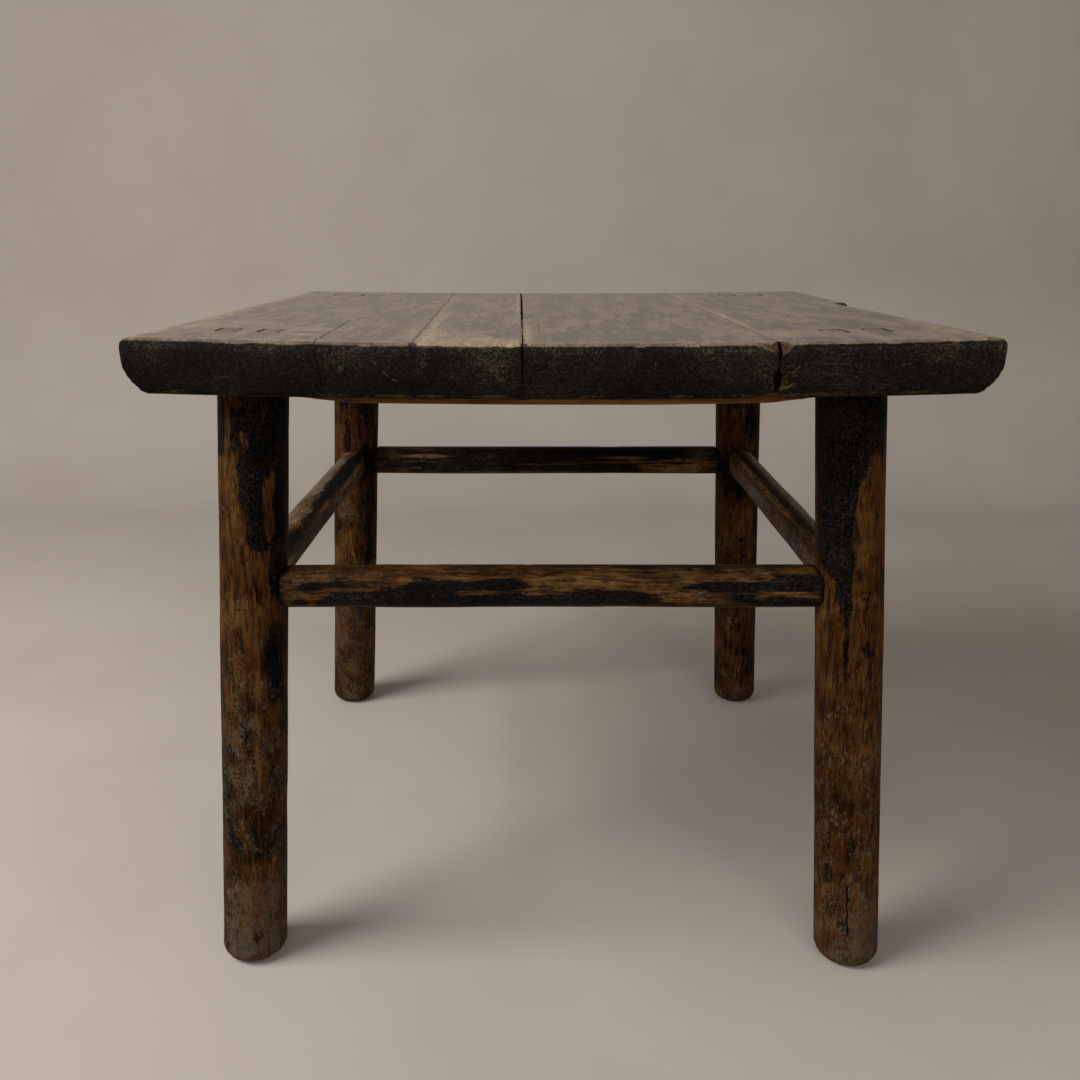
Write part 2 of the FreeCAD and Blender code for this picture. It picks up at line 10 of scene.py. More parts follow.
import bmesh
import bpy
import numpy as np
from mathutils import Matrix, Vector


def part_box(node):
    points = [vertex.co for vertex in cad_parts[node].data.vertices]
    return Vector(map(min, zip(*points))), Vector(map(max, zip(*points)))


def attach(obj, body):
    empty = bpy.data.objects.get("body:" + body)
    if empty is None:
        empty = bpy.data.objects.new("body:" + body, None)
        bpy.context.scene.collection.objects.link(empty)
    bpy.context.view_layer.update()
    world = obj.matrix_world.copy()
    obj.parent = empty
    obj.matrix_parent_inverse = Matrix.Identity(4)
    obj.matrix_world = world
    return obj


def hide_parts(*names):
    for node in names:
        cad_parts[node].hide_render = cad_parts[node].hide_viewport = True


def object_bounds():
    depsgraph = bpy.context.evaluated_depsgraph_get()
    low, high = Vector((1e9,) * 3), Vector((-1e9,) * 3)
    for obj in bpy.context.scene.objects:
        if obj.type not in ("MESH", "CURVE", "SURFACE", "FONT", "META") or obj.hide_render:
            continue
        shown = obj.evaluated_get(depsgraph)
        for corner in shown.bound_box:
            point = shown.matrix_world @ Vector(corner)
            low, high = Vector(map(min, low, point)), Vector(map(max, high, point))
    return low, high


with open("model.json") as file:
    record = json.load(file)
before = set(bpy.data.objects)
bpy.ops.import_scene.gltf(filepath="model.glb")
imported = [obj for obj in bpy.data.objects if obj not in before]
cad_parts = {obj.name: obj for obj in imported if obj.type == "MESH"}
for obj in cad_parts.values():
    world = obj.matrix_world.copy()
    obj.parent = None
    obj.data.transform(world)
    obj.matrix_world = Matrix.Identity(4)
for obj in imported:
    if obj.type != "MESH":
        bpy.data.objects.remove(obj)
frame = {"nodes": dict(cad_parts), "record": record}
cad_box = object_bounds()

MM = 0.001
X_AXIS, Y_AXIS, Z_AXIS = 0, 1, 2

# The camera of the photograph, fitted to the table's edges.
CAMERA_PLACE = (-0.0161, -1.0234, 0.6074)
CAMERA_PITCH = math.radians(90 - 16.66)
CAMERA_LENS = 33.93
CAMERA_SENSOR = 36.0

# Levels and edges of the top.
TOP_LEVEL = cad_box[1].z
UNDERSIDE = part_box("left_board")[0].z
HALF_WIDTH = cad_box[1].x
HALF_DEPTH = cad_box[1].y
RAIL_LEVEL = (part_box("front_stretcher")[0].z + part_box("front_stretcher")[1].z) / 2

# The moulding round the top, as in the model (mm).
EDGE_TOP_ROUND = 8.0
EDGE_BAND = 1.0
EDGE_INSET = 16.0
EDGE_UNDER_ROUND = 8.5
CORNER_ROUND = 5.0

# How near a round a point has to be to be brought onto it (mm).
ROUND_REACH = 3.0

# How far the planks have sagged between the legs, at the front edge and at the back edge.
FRONT_SAG = 5.0 * MM
BACK_SAG = 3.0 * MM

# Mesh fineness of each kind of piece.
BOARD_VOXEL = 2.0 * MM
BAR_VOXEL = 1.4 * MM
SMALL_VOXEL = 0.7 * MM

# How far every point stays inside the model's box.
BOX_ROOM = 0.01 * MM

# Points of the model's meshes that are nearer than this are one point.
SAME_POINT = 0.01 * MM

# Shares of a smoothing pass and of the growing pass that follows it.
SHRINK, GROW = 0.5, -0.53

# The distance from a line or ring at which nothing of it shows (mm).
FAR = 50.0

# The value that keeps a look away from a place, whatever the noises add to it.
ABSENT = -0.8

# The random seed of the first piece of each kind, and the step to the next one.
PLANK_SEED, LEG_SEED, END_RAIL_SEED, SIDE_RAIL_SEED, BATTEN_SEED = 10, 110, 210, 250, 310
SEED_STEP = 20

NOISE_CELLS = 256
NOISE_WRAP = NOISE_CELLS - 1
NOISE_GAIN = 1.7
NOISE_LAYERS = 3


# Noise on arrays of points

def gradient_table(seed):
    """A random order of the cells and a random direction for each."""
    random = np.random.default_rng(seed)
    directions = random.normal(size=(NOISE_CELLS, 3))
    directions /= np.linalg.norm(directions, axis=1)[:, None]
    return random.permutation(NOISE_CELLS), directions


def noise(points, frequency, seed, stretch=(1, 1, 1)):
    """Smooth noise from about -1 to 1; a stretch below 1 draws it out along that axis."""
    order, directions = gradient_table(seed)
    spots = points * (frequency * np.array(stretch))
    cell = np.floor(spots).astype(int)
    inside = spots - cell
    ease = inside ** 3 * (inside * (inside * 6 - 15) + 10)
    total = np.zeros(len(points))
    for corner in itertools.product((0, 1), repeat=3):
        place = (cell + corner) & NOISE_WRAP
        row = order[(order[place[:, 0]] + place[:, 1]) & NOISE_WRAP]
        pick = order[(row + place[:, 2]) & NOISE_WRAP]
        weight = np.prod(np.where(corner, ease, 1 - ease), axis=1)
        total += weight * np.einsum("ij,ij->i", directions[pick], inside - corner)
    return total * NOISE_GAIN


def rough_noise(points, frequency, seed, stretch=(1, 1, 1)):
    """Several layers of noise, each twice as fine and half as strong."""
    total = np.zeros(len(points))
    for octave in range(NOISE_LAYERS):
        total += noise(points, frequency * 2 ** octave, seed + octave, stretch) / 2 ** octave
    return total


def blend_step(low, high, value):
    """Smooth rise from 0 at low to 1 at high."""
    share = np.clip((value - low) / (high - low), 0, 1)
    return share * share * (3 - 2 * share)


def spot(across, along, centre_across, centre_along, half_across, half_along):
    """One soft oval: 1 in its middle, 0.5 on its outline, 0 well outside."""
    reach = np.hypot((across - centre_across) / half_across, (along - centre_along) / half_along)
    return 1 - blend_step(0.4, 1.6, reach)


def painted(across, along, marks):
    """Layers of oval marks (across, along, half across, half along, strength) in the order given."""
    total = np.zeros(len(across))
    for centre_across, centre_along, half_across, half_along, strength in marks:
        share = spot(across, along, centre_across, centre_along, half_across, half_along)
        total += (strength - total) * share
    return total


# Meshes

class Piece:
    """A finer copy of one node, worked on as arrays of points."""

    def __init__(self, node, voxel):
        self.node = node
        closed = bmesh.new()
        closed.from_mesh(frame["nodes"][node].data)
        bmesh.ops.remove_doubles(closed, verts=closed.verts, dist=SAME_POINT)
        rough = bpy.data.meshes.new(f"{node}_rough")
        closed.to_mesh(rough)
        closed.free()
        carrier = bpy.data.objects.new(f"{node}_rough", rough)
        bpy.context.scene.collection.objects.link(carrier)
        remesh = carrier.modifiers.new("fine", "REMESH")
        remesh.mode = "VOXEL"
        remesh.voxel_size = voxel
        graph = bpy.context.evaluated_depsgraph_get()
        self.mesh = bpy.data.meshes.new_from_object(carrier.evaluated_get(graph))
        self.mesh.name = f"{node}_wood"
        bpy.data.objects.remove(carrier)
        bpy.data.meshes.remove(rough)
        self.points = self.fetch(self.mesh.vertices, "co", 3)
        self.edges = self.fetch(self.mesh.edges, "vertices", 2, int)
        self.neighbours = np.bincount(self.edges.ravel(), minlength=len(self.points))
        self.marks = {}

    @staticmethod
    def fetch(items, name, width, kind=float):
        """One value of all the items, as the rows of an array."""
        flat = np.empty(len(items) * width, dtype=kind)
        items.foreach_get(name, flat)
        return flat.reshape(-1, width)

    def around(self, values):
        """The mean of each point's neighbours."""
        first, second = self.edges.T
        total = np.bincount(first, values[second], len(values))
        total += np.bincount(second, values[first], len(values))
        return total / self.neighbours

    def middles(self):
        """The middle of each point's neighbours."""
        return np.stack([self.around(column) for column in self.points.T], axis=1)

    def smooth(self, rounds, weight):
        """Draws each point towards its neighbours, which rounds edges and leaves flats alone."""
        for _ in range(rounds):
            self.points += (self.middles() - self.points) * np.reshape(weight, (-1, 1))

    def even_out(self, rounds, share=1.0):
        """Takes out facets and steps; each shrinking pass is followed by a growing one."""
        for _ in range(rounds):
            self.smooth(1, SHRINK * share)
            self.smooth(1, GROW * share)

    def spread(self, values, rounds):
        """Carries values over to the points beside them."""
        for _ in range(rounds):
            values = (values + self.around(values)) / 2
        return values

    def normals(self):
        """The normals at the points, which go into the mesh first."""
        self.mesh.vertices.foreach_set("co", self.points.ravel())
        self.mesh.update()
        return self.fetch(self.mesh.vertex_normals, "vector", 3)

    def sharpness(self, voxel):
        """About 1 along outer edges, 0 on flats and in hollows."""
        bulge = np.einsum("ij,ij->i", self.points - self.middles(), self.normals())
        return np.clip(bulge / (0.25 * voxel), 0, 1)

    def sink(self, depth):
        """Moves the surface inwards."""
        self.points -= self.normals() * np.reshape(depth, (-1, 1))

    def mark(self, **fields):
        """Keeps values for the material to read: one for all the points, or one for each."""
        self.marks.update(fields)

    def finish(self, slot, materials, pick=None):
        """Makes the object; pick gives each face's material from face centres and normals."""
        low, high = np.array(cad_box)
        self.points = np.clip(self.points, low + BOX_ROOM, high - BOX_ROOM)
        self.mesh.vertices.foreach_set("co", self.points.ravel())
        for name, values in self.marks.items():
            attribute = self.mesh.attributes.new(name, "FLOAT", "POINT")
            attribute.data.foreach_set("value", np.full(len(self.points), values, dtype=np.float32))
        faces = self.mesh.polygons
        faces.foreach_set("use_smooth", np.ones(len(faces), dtype=bool))
        self.mesh.materials.clear()
        for material in materials:
            self.mesh.materials.append(material)
        self.mesh.update()
        if pick:
            chosen = pick(self.fetch(faces, "center", 3), self.fetch(faces, "normal", 3))
            faces.foreach_set("material_index", chosen.astype(np.int32))
        worn = bpy.data.objects.new(f"{self.node}_wood", self.mesh)
        bpy.context.scene.collection.objects.link(worn)
        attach(worn, "root")
        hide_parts(self.node)


def sag(points):
    """The drop of the top's planks at each point."""
    share = (points[:, 1] + HALF_DEPTH) / (2 * HALF_DEPTH)
    depth = FRONT_SAG + (BACK_SAG - FRONT_SAG) * share
    return depth * (1 - (points[:, 0] / HALF_WIDTH) ** 2)


def dents(points, seed, count, radii, depths):
    """Small knocks at random places within the points' box."""
    random = np.random.default_rng(seed)
    low, high = points.min(0), points.max(0)
    total = np.zeros(len(points))
    for _ in range(count):
        centre = random.uniform(low, high)
        radius = random.uniform(*radii)
        depth = random.uniform(*depths)
        near = np.linalg.norm(points - centre, axis=1) / radius
        total += depth * np.exp(-near ** 2 * 2)
    return total


def hollow(points, centre, radius, depth):
    """A ragged round bite out of the wood about a centre, all sizes in millimetres."""
    reach = np.linalg.norm(points / MM - centre, axis=1) / radius + 0.25 * noise(points, 160, 21)
    return depth * MM * (1 - blend_step(0.5, 1.0, reach))


def split_off(points, corners):
    """Cuts away what stands outside the plane through three corners (mm); returns the depth cut."""
    first, second, third = (np.array(corner) * MM for corner in corners)
    facing = np.cross(second - first, third - first)
    facing /= np.linalg.norm(facing)
    if facing[2] < 0:
        facing = -facing
    depth = np.clip((points - first) @ facing, 0, None)
    points -= depth[:, None] * facing
    return depth


def line_marks(points, across, along, lines):
    """Signed distance (mm) to the nearest of some lines, and how strongly each is cut there."""
    wander = 1.2 * noise(points, 90, 3)
    nearest = np.full(len(points), FAR)
    power = np.zeros(len(points))
    for (x0, y0), (x1, y1), strength in lines:
        length = math.hypot(x1 - x0, y1 - y0)
        way = ((x1 - x0) / length, (y1 - y0) / length)
        travel = (across - x0) * way[0] + (along - y0) * way[1]
        side = (across - x0) * -way[1] + (along - y0) * way[0] + wander
        inside = blend_step(-2, 4, travel) * (1 - blend_step(length - 4, length + 2, travel))
        closer = (inside > 0) & (np.abs(side) < np.abs(nearest))
        nearest = np.where(closer, side, nearest)
        power = np.where(closer, inside * strength, power)
    return nearest, power


# Materials

class Shader:
    """Builds one procedural material; sockets are passed about as values."""

    def __init__(self, name):
        self.material = bpy.data.materials.new(name)
        self.material.use_nodes = True
        self.tree = self.material.node_tree
        self.surface = self.tree.nodes["Principled BSDF"]
        self.place = self.node("ShaderNodeTexCoord").outputs["Object"]

    def node(self, kind, values=None, **settings):
        """A new node with values for its inputs."""
        made = self.tree.nodes.new(kind)
        for name, value in settings.items():
            setattr(made, name, value)
        for name, value in (values or {}).items():
            self.feed(made.inputs[name], value)
        return made

    def feed(self, socket, value):
        """Links another socket to an input, or sets the input's own value."""
        if isinstance(value, bpy.types.NodeSocket):
            self.tree.links.new(value, socket)
        else:
            socket.default_value = value

    def stretched(self, scale, turn=(0, 0, 0)):
        made = self.node("ShaderNodeMapping", {"Vector": self.place, "Scale": scale, "Rotation": turn})
        return made.outputs["Vector"]

    def noise(self, scale, detail=4.0, roughness=0.6, place=None, distortion=0.0):
        return self.node("ShaderNodeTexNoise", {
            "Vector": place or self.place, "Scale": scale, "Detail": detail,
            "Roughness": roughness, "Distortion": distortion}).outputs["Fac"]

    def cells(self, scale, place):
        return self.node("ShaderNodeTexVoronoi", {"Vector": place, "Scale": scale}).outputs["Distance"]

    def read(self, name):
        return self.node("ShaderNodeAttribute", attribute_name=name).outputs["Fac"]

    def math(self, operation, first, second=0.0, third=0.0):
        made = self.node("ShaderNodeMath", {0: first, 1: second, 2: third}, operation=operation)
        return made.outputs[0]

    def times(self, first, second):
        return self.math("MULTIPLY", first, second)

    def add(self, base, *parts):
        """The base with shares of noises, each centred on one half, added to it."""
        total = base
        for extra, share in parts:
            total = self.plus(total, self.math("SUBTRACT", extra, 0.5), share)
        return total

    def plus(self, base, extra, share):
        """The base with a share of another value added."""
        return self.math("MULTIPLY_ADD", extra, share, base)

    def lines(self, field, edge, core, ragged, full):
        """1 on the thin lines of a field of signed distances where its power is full, else 0."""
        inside = self.step(self.math("ABSOLUTE", self.read(field)), edge, core)
        power = self.add(self.read(f"{field}_power"), ragged)
        return self.times(inside, self.step(power, 0.35, full))

    def step(self, value, low, high):
        """0 at low to 1 at high."""
        made = self.node("ShaderNodeMapRange", {"Value": value, "From Min": low, "From Max": high})
        made.interpolation_type = "SMOOTHSTEP"
        return made.outputs["Result"]

    def ramp(self, value, stops):
        made = self.node("ShaderNodeValToRGB", {"Fac": value})
        elements = made.color_ramp.elements
        while len(elements) < len(stops):
            elements.new(0.5)
        for element, (position, colour) in zip(elements, stops):
            element.position = position
            element.color = (*colour, 1)
        return made.outputs["Color"]

    def mix(self, share, first, second):
        made = self.node("ShaderNodeMix", data_type="RGBA")
        self.feed(made.inputs["Factor"], share)
        for name, colour in (("A", first), ("B", second)):
            socket = next(item for item in made.inputs if item.name == name and item.type == "RGBA")
            self.feed(socket, (*colour, 1) if isinstance(colour, tuple) else colour)
        return next(item for item in made.outputs if item.type == "RGBA")

    def finish(self, colour, roughness, height, depth, gloss):
        bump = self.node("ShaderNodeBump", {"Height": height, "Strength": 1.0, "Distance": depth})
        self.feed(self.surface.inputs["Base Color"], colour)
        self.feed(self.surface.inputs["Roughness"], roughness)
        self.feed(self.surface.inputs["Normal"], bump.outputs["Normal"])
        self.surface.inputs["Specular IOR Level"].default_value = gloss
        return self.material


# The scale of a noise along the grain; below 1 it draws the noise out.
GRAIN_DRAW = 0.06

# Colours, dark to light: places on the ramp with red, green and blue.
BLACK_LACQUER = [(0.30, (0.0008, 0.0006, 0.0005)), (0.50, (0.0026, 0.0019, 0.0013)),
                 (0.75, (0.022, 0.0170, 0.0122))]
EDGE_LACQUER = [(0.30, (0.0030, 0.0024, 0.0018)), (0.52, (0.0082, 0.0064, 0.0047)),
                (0.75, (0.030, 0.023, 0.017))]
TOP_STAIN = [(0.30, (0.024, 0.0175, 0.0122)), (0.52, (0.052, 0.039, 0.0285)), (0.75, (0.095, 0.075, 0.058))]
GOLDEN_WOOD = [(0.25, (0.009, 0.0036, 0.0008)), (0.42, (0.031, 0.0112, 0.0021)),
               (0.56, (0.060, 0.0230, 0.0046)), (0.78, (0.115, 0.053, 0.0145))]
BROWN_WOOD = [(0.25, (0.010, 0.0045, 0.0013)), (0.42, (0.037, 0.0156, 0.0036)),
              (0.56, (0.080, 0.036, 0.0088)), (0.78, (0.17, 0.091, 0.029)), (0.98, (0.36, 0.195, 0.072))]
EDGE_WOOD = [(0.25, (0.020, 0.013, 0.0080)), (0.50, (0.070, 0.048, 0.028)), (0.78, (0.17, 0.130, 0.082))]
TOP_WOOD = [(0.25, (0.040, 0.026, 0.0160)), (0.42, (0.100, 0.069, 0.045)), (0.58, (0.172, 0.124, 0.085)),
            (0.78, (0.27, 0.204, 0.145))]
BATTEN_WOOD = [(0.25, (0.045, 0.022, 0.007)), (0.45, (0.155, 0.071, 0.019)), (0.58, (0.24, 0.118, 0.036)),
               (0.75, (0.31, 0.18, 0.075))]
TAN_WOOD = [(0.25, (0.14, 0.092, 0.048)), (0.50, (0.31, 0.222, 0.124)), (0.75, (0.50, 0.380, 0.235))]
RAW_WOOD = [(0.25, (0.016, 0.008, 0.003)), (0.50, (0.062, 0.034, 0.013)), (0.75, (0.14, 0.086, 0.039))]
# Pale dust on upper faces; also painted light, where it brightens facets that the lamps leave in shade.
PALE_DUST_AND_LIGHT = [(0.25, (0.050, 0.032, 0.017)), (0.50, (0.13, 0.095, 0.060)), (0.80, (0.40, 0.325, 0.240))]

# Single colours of what lies on the wood.
DUST = (0.27, 0.24, 0.195)
GREY_DIRT = (0.098, 0.078, 0.056)
SCUFF = (0.070, 0.056, 0.041)
FLAKE = (0.125, 0.092, 0.056)
SOOT = (0.0035, 0.0027, 0.0020)


def grain_scale(axis, draw=GRAIN_DRAW):
    """Scales that draw a noise out along one axis."""
    return tuple(draw if number == axis else 1.0 for number in range(3))


def old_finish(name, axis, wood_tones, lacquer_tones, gloss, rough_wood, rough_lacquer,
               draw, streaks, relief):
    """Wood drawn out along one axis, with what is left of its black lacquer.

    The points' own values say where things are: lacquer, tone for lighter or darker wood, wear for
    flecks rubbed through the lacquer, tan for pale rubbed wood, raw for broken wood, grey for scuffed
    dirt, the pale dust and light value for a dusty face that is also made paler as painted light where
    the lamps leave it in shade, dust for specks, age for dark cracks along the grain and pale flakes,
    crack with its power for thin dark lines, and score with its power for thin pale ones.
    """
    shader = Shader(name)
    add, mix, plus, ramp = shader.add, shader.mix, shader.plus, shader.ramp
    read, step, times = shader.read, shader.step, shader.times
    along = shader.stretched(grain_scale(axis, draw))
    short = shader.stretched(grain_scale(axis, min(1.0, draw * 5)))
    pores = shader.stretched(grain_scale(axis, 0.5))
    fibre = shader.noise(900.0, 4.0, 0.65, along)
    streak = shader.noise(420.0, 3.0, 0.6, along, 0.3)
    band = shader.noise(120.0, 4.0, 0.6, along, 0.6)
    cloud = shader.noise(22.0, 4.0, 0.6)
    mottle = shader.noise(60.0, 5.0, 0.65)
    flake = shader.noise(300.0, 5.0, 0.75, short, 0.5)
    ragged = shader.noise(90.0, 6.0, 0.7, along, 0.6)
    tatter = shader.noise(240.0, 6.0, 0.8, short, 0.8)
    fleck = shader.noise(620.0, 3.0, 0.7, short)
    fine = shader.noise(480.0, 4.0, 0.75)
    scratch = shader.noise(420.0, 2.0, 0.5, shader.stretched((0.05, 1, 1), (0.2, 0.6, 0.3)))
    age, paleness = read("age"), read("pale")

    # The wood, its splits and pits, broken and rubbed places
    tone = add(shader.math("ADD", read("tone"), 0.5),
               (fibre, 0.5), (band, 0.45), (cloud, 0.7), (mottle, 0.5), (tatter, 0.5))
    splits = step(plus(streak, age, 0.09), 0.57, 0.65)
    wood = mix(times(splits, streaks), ramp(tone, wood_tones), SOOT)
    pits = times(step(shader.cells(150.0, pores), 0.20, 0.12), step(shader.noise(70.0, 3.0), 0.50, 0.58))
    wood = mix(times(pits, streaks), wood, SOOT)
    broken = step(add(read("raw"), (fine, 0.5)), 0.40, 0.60)
    wood = mix(broken, wood, ramp(add(0.5, (fibre, 0.7), (fine, 0.6)), RAW_WOOD))
    tan = ramp(add(0.5, (fine, 0.8), (band, 0.7), (tatter, 0.6)), TAN_WOOD)
    tan_reach = add(read("tan"), (fleck, 0.8), (mottle, 0.9), (tatter, 1.3))
    rubbed = times(step(tan_reach, 0.44, 0.58), 0.85)
    wood = mix(rubbed, wood, tan)

    # The lacquer and what it has left behind
    reach = add(read("lacquer"), (ragged, 1.0), (tatter, 1.5), (streak, 0.9), (fine, 0.7))
    stain = ramp(add(0.5, (cloud, 0.6), (fine, 1.3), (fleck, 0.6)), lacquer_tones)
    residue = times(step(reach, 0.30, 0.50), 0.45)
    flecks = step(add(read("wear"), (fleck, 1.0), (cloud, 0.5), (tatter, 0.6)), 0.13, 0.22)
    coat = times(step(reach, 0.48, 0.53), plus(1.0, flecks, -0.75))
    coated = mix(coat, mix(residue, wood, stain), stain)
    scuffs = times(step(scratch, 0.64, 0.70), step(cloud, 0.45, 0.60))
    coated = mix(times(scuffs, 0.25), coated, SCUFF)

    # Dirt, pale dust with painted light, flakes, specks and lines on top of both
    # Pale dust, made paler as painted light on upper facets that lie in shade.
    pale = ramp(add(plus(0.34, paleness, 0.25), (fine, 0.7), (streak, 0.7), (tatter, 0.5)), PALE_DUST_AND_LIGHT)
    pale_share = step(add(paleness, (ragged, 1.0), (tatter, 1.0)), 0.42, 0.58)
    coated = mix(times(pale_share, 0.85), coated, pale)
    grey_reach = add(read("grey"), (mottle, 0.8), (fine, 1.0), (tatter, 1.4), (streak, 1.0))
    dirty = mix(times(step(grey_reach, 0.44, 0.74), 0.75), coated, GREY_DIRT)
    flakes = step(add(plus(flake, age, 0.14), (mottle, 0.5)), 0.65, 0.72)
    dirty = mix(times(flakes, plus(0.6, coat, -0.42)), dirty, FLAKE)
    specks = add(shader.cells(200.0, pores), (fine, 0.5))
    speck_share = step(add(read("dust"), (mottle, 1.6)), 0.50, 0.66)
    dirty = mix(times(step(specks, 0.27, 0.15), speck_share), dirty, DUST)
    scored = shader.lines("score", 0.60, 0.25, (fine, 0.8), 0.60)
    gash = shader.lines("crack", 0.80, 0.40, (fine, 0.6), 0.55)
    colour = mix(gash, mix(times(scored, 0.6), dirty, FLAKE), SOOT)

    rough = plus(rough_wood, coat, rough_lacquer - rough_wood)
    rough = add(rough, (fine, 0.15), (cloud, 0.2), (tatter, 0.2))
    for share, extra in ((rubbed, 0.1), (gash, 0.4), (broken, 0.45)):
        rough = plus(rough, share, extra)
    height = add(times(coat, 0.35), (fibre, 0.6), (tatter, 0.9), (fine, 0.5))
    for share, extra in ((gash, -1.0), (splits, -0.5), (flakes, 0.4)):
        height = plus(height, share, extra)
    return shader.finish(colour, rough, height, relief, gloss)


def bare_wood(name):
    """Plain wood along the table's width that never had a finish, grimed by age."""
    shader = Shader(name)
    along = shader.stretched(grain_scale(X_AXIS))
    fibre = shader.noise(800.0, 5.0, 0.65, along)
    band = shader.noise(110.0, 4.0, 0.6, along, 0.8)
    cloud = shader.noise(30.0, 3.0, 0.6)
    tone = shader.add(0.5, (fibre, 0.6), (band, 0.9), (cloud, 0.3))
    grime = shader.step(shader.add(cloud, (fibre, 0.8)), 0.52, 0.72)
    colour = shader.mix(shader.times(grime, 0.5), shader.ramp(tone, BATTEN_WOOD), SOOT)
    rough = shader.add(0.62, (band, 0.3))
    return shader.finish(colour, rough, shader.math("ADD", fibre, band), 0.5 * MM, 0.1)


top_material = old_finish("worn_top", Y_AXIS, TOP_WOOD, TOP_STAIN, gloss=1.0, rough_wood=0.16,
                          rough_lacquer=0.18, draw=0.07, streaks=0.6, relief=0.12 * MM)
edge_material = old_finish("worn_edge", X_AXIS, EDGE_WOOD, EDGE_LACQUER, gloss=0.05, rough_wood=0.65,
                           rough_lacquer=0.6, draw=0.4, streaks=0.65, relief=0.7 * MM)
leg_material = old_finish("worn_leg", Z_AXIS, GOLDEN_WOOD, BLACK_LACQUER, gloss=0.03, rough_wood=0.60,
                          rough_lacquer=0.50, draw=0.1, streaks=0.75, relief=1.1 * MM)
end_rail_material, side_rail_material = (
    old_finish(name, axis, BROWN_WOOD, BLACK_LACQUER, gloss=0.06, rough_wood=0.60,
               rough_lacquer=0.5, draw=draw, streaks=0.75, relief=1.0 * MM)
    for name, axis, draw in (("worn_end_rail", X_AXIS, 0.1), ("worn_side_rail", Y_AXIS, 0.25)))
batten_material = bare_wood("bare_batten")
pin_material = bare_wood("bare_pins")


# The legs' axes, which the tenons on the top and in the legs follow

class LegLine:
    """The leaning axis of one leg, its radius, and the rectangle about its pair of tenons."""

    def __init__(self, name):
        mount = next(item for item in frame["record"]["mounts"] if item["name"] == f"{name}_foot")
        points = np.array([vertex.co for vertex in frame["nodes"][f"{name}_leg"].data.vertices])
        tenons = points[points[:, 2] > UNDERSIDE + 1 * MM][:, :2]
        low, high = tenons.min(0), tenons.max(0)
        self.foot = np.array(mount["pos_m"][:2])
        self.head = (low + high) / 2
        self.half = (high - low) / 2
        shaft = points[points[:, 2] < UNDERSIDE - 1 * MM]
        self.radius = np.linalg.norm(self.offset(shaft), axis=1).max()
        self.outward = -1 if name.startswith("front") else 1

    def offset(self, points):
        """Where points lie across and along from the axis."""
        share = points[:, 2:] / UNDERSIDE
        return points[:, :2] - (self.foot + (self.head - self.foot) * share)


def seeded(names, first):
    """Names of pieces with a random seed for each."""
    return zip(names, itertools.count(first, SEED_STEP))


# How far each of a leg's two tenons stands from the middle of the pair.
TENON_OFFSET = 16.15 * MM

LEG_NAMES = ("front_left", "front_right", "back_left", "back_right")
LEG_SEEDS = dict(seeded(LEG_NAMES, LEG_SEED))
LEGS = {name: LegLine(name) for name in LEG_NAMES}


def outside(points, centre, half):
    """How far outside a rectangle points lie, seen from above."""
    return np.max(np.abs(points[:, :2] - centre) - half, axis=1)


def near_tenons(points):
    """1 on the legs' tenons and close beside them, fading to 0."""
    room = np.min([outside(points, line.head, line.half) for line in LEGS.values()], axis=0)
    return 1 - blend_step(3 * MM, 12 * MM, room)


def tenon_frames(points):
    """1 in the dark worn frame about each single tenon's end in the top, 0 away from it."""
    frames = np.zeros(len(points))
    ragged = 1.2 * MM * noise(points, 120, 41)
    shift = np.array([TENON_OFFSET, 0])
    for line, side in itertools.product(LEGS.values(), (-1, 1)):
        room = outside(points, line.head + side * shift, line.half - shift)
        frames = np.maximum(frames, 1 - blend_step(1.0 * MM, 4.0 * MM, np.abs(room) + ragged))
    return frames


# The planks

# The seams: the planks beside each, where its front and back ends lie (mm), how dark it is on the top
# and on the front, and its rubbed places: across from the seam, along, half sizes (mm) and strength.
SEAMS = [
    {"planks": ("left_board", "narrow_board"), "front": -105, "back": -124,
     "top_dark": 1.0, "front_dark": 0.30,
     "rubbed": [(8, -235, 10, 60, 0.68), (5, -135, 5, 60, 0.66), (7, -45, 6, 50, 0.58),
                (4, 60, 4, 80, 0.56), (6, 180, 6, 70, 0.48), (-8, -215, 8, 75, 0.42)]},
    {"planks": ("narrow_board", "middle_board"), "front": -28, "back": -40,
     "top_dark": 1.0, "front_dark": 1.0,
     "rubbed": [(-2.5, 110, 3, 220, 0.74), (3.5, -215, 4, 100, 0.74)]},
    {"planks": ("middle_board", "right_board"), "front": 151, "back": 140,
     "top_dark": 0.75, "front_dark": 0.65,
     "rubbed": [(2.5, 0, 3.5, 300, 0.72), (3.5, 235, 5, 60, 0.88), (3.5, -95, 5, 90, 0.84),
                (-2, 60, 3, 120, 0.55)]},
]
OPEN_SEAM = SEAMS[1]

# How far a plank's side face stays from the seam line (mm).
SEAM_FIT = 0.03

# Upward share of a face's normal from which it has the look of the top.
TOP_FACING = 0.78

# Pale rubbed places on the top: across, along, half across, half along (mm) and strength.
TOP_TAN = [
    (0, -302, 330, 9, 0.20), (-302, -150, 11, 170, 0.58), (-303, 120, 9, 150, 0.54),
    (-272, -200, 42, 50, 0.38), (-76, -286, 34, 28, 0.84), (-48, -290, 26, 22, 0.64),
    (-84, -250, 16, 40, 0.46), (-266, -250, 9, 6, 0.50), (-238, -252, 4, 5, 0.58),
    (-194, -255, 11, 6, 0.58), (-215, -215, 50, 14, 0.36), (185, -240, 46, 26, 0.44),
    (297, -230, 14, 90, 0.50), (-75, -110, 14, 10, 0.42), (-62, -215, 10, 8, 0.44),
]

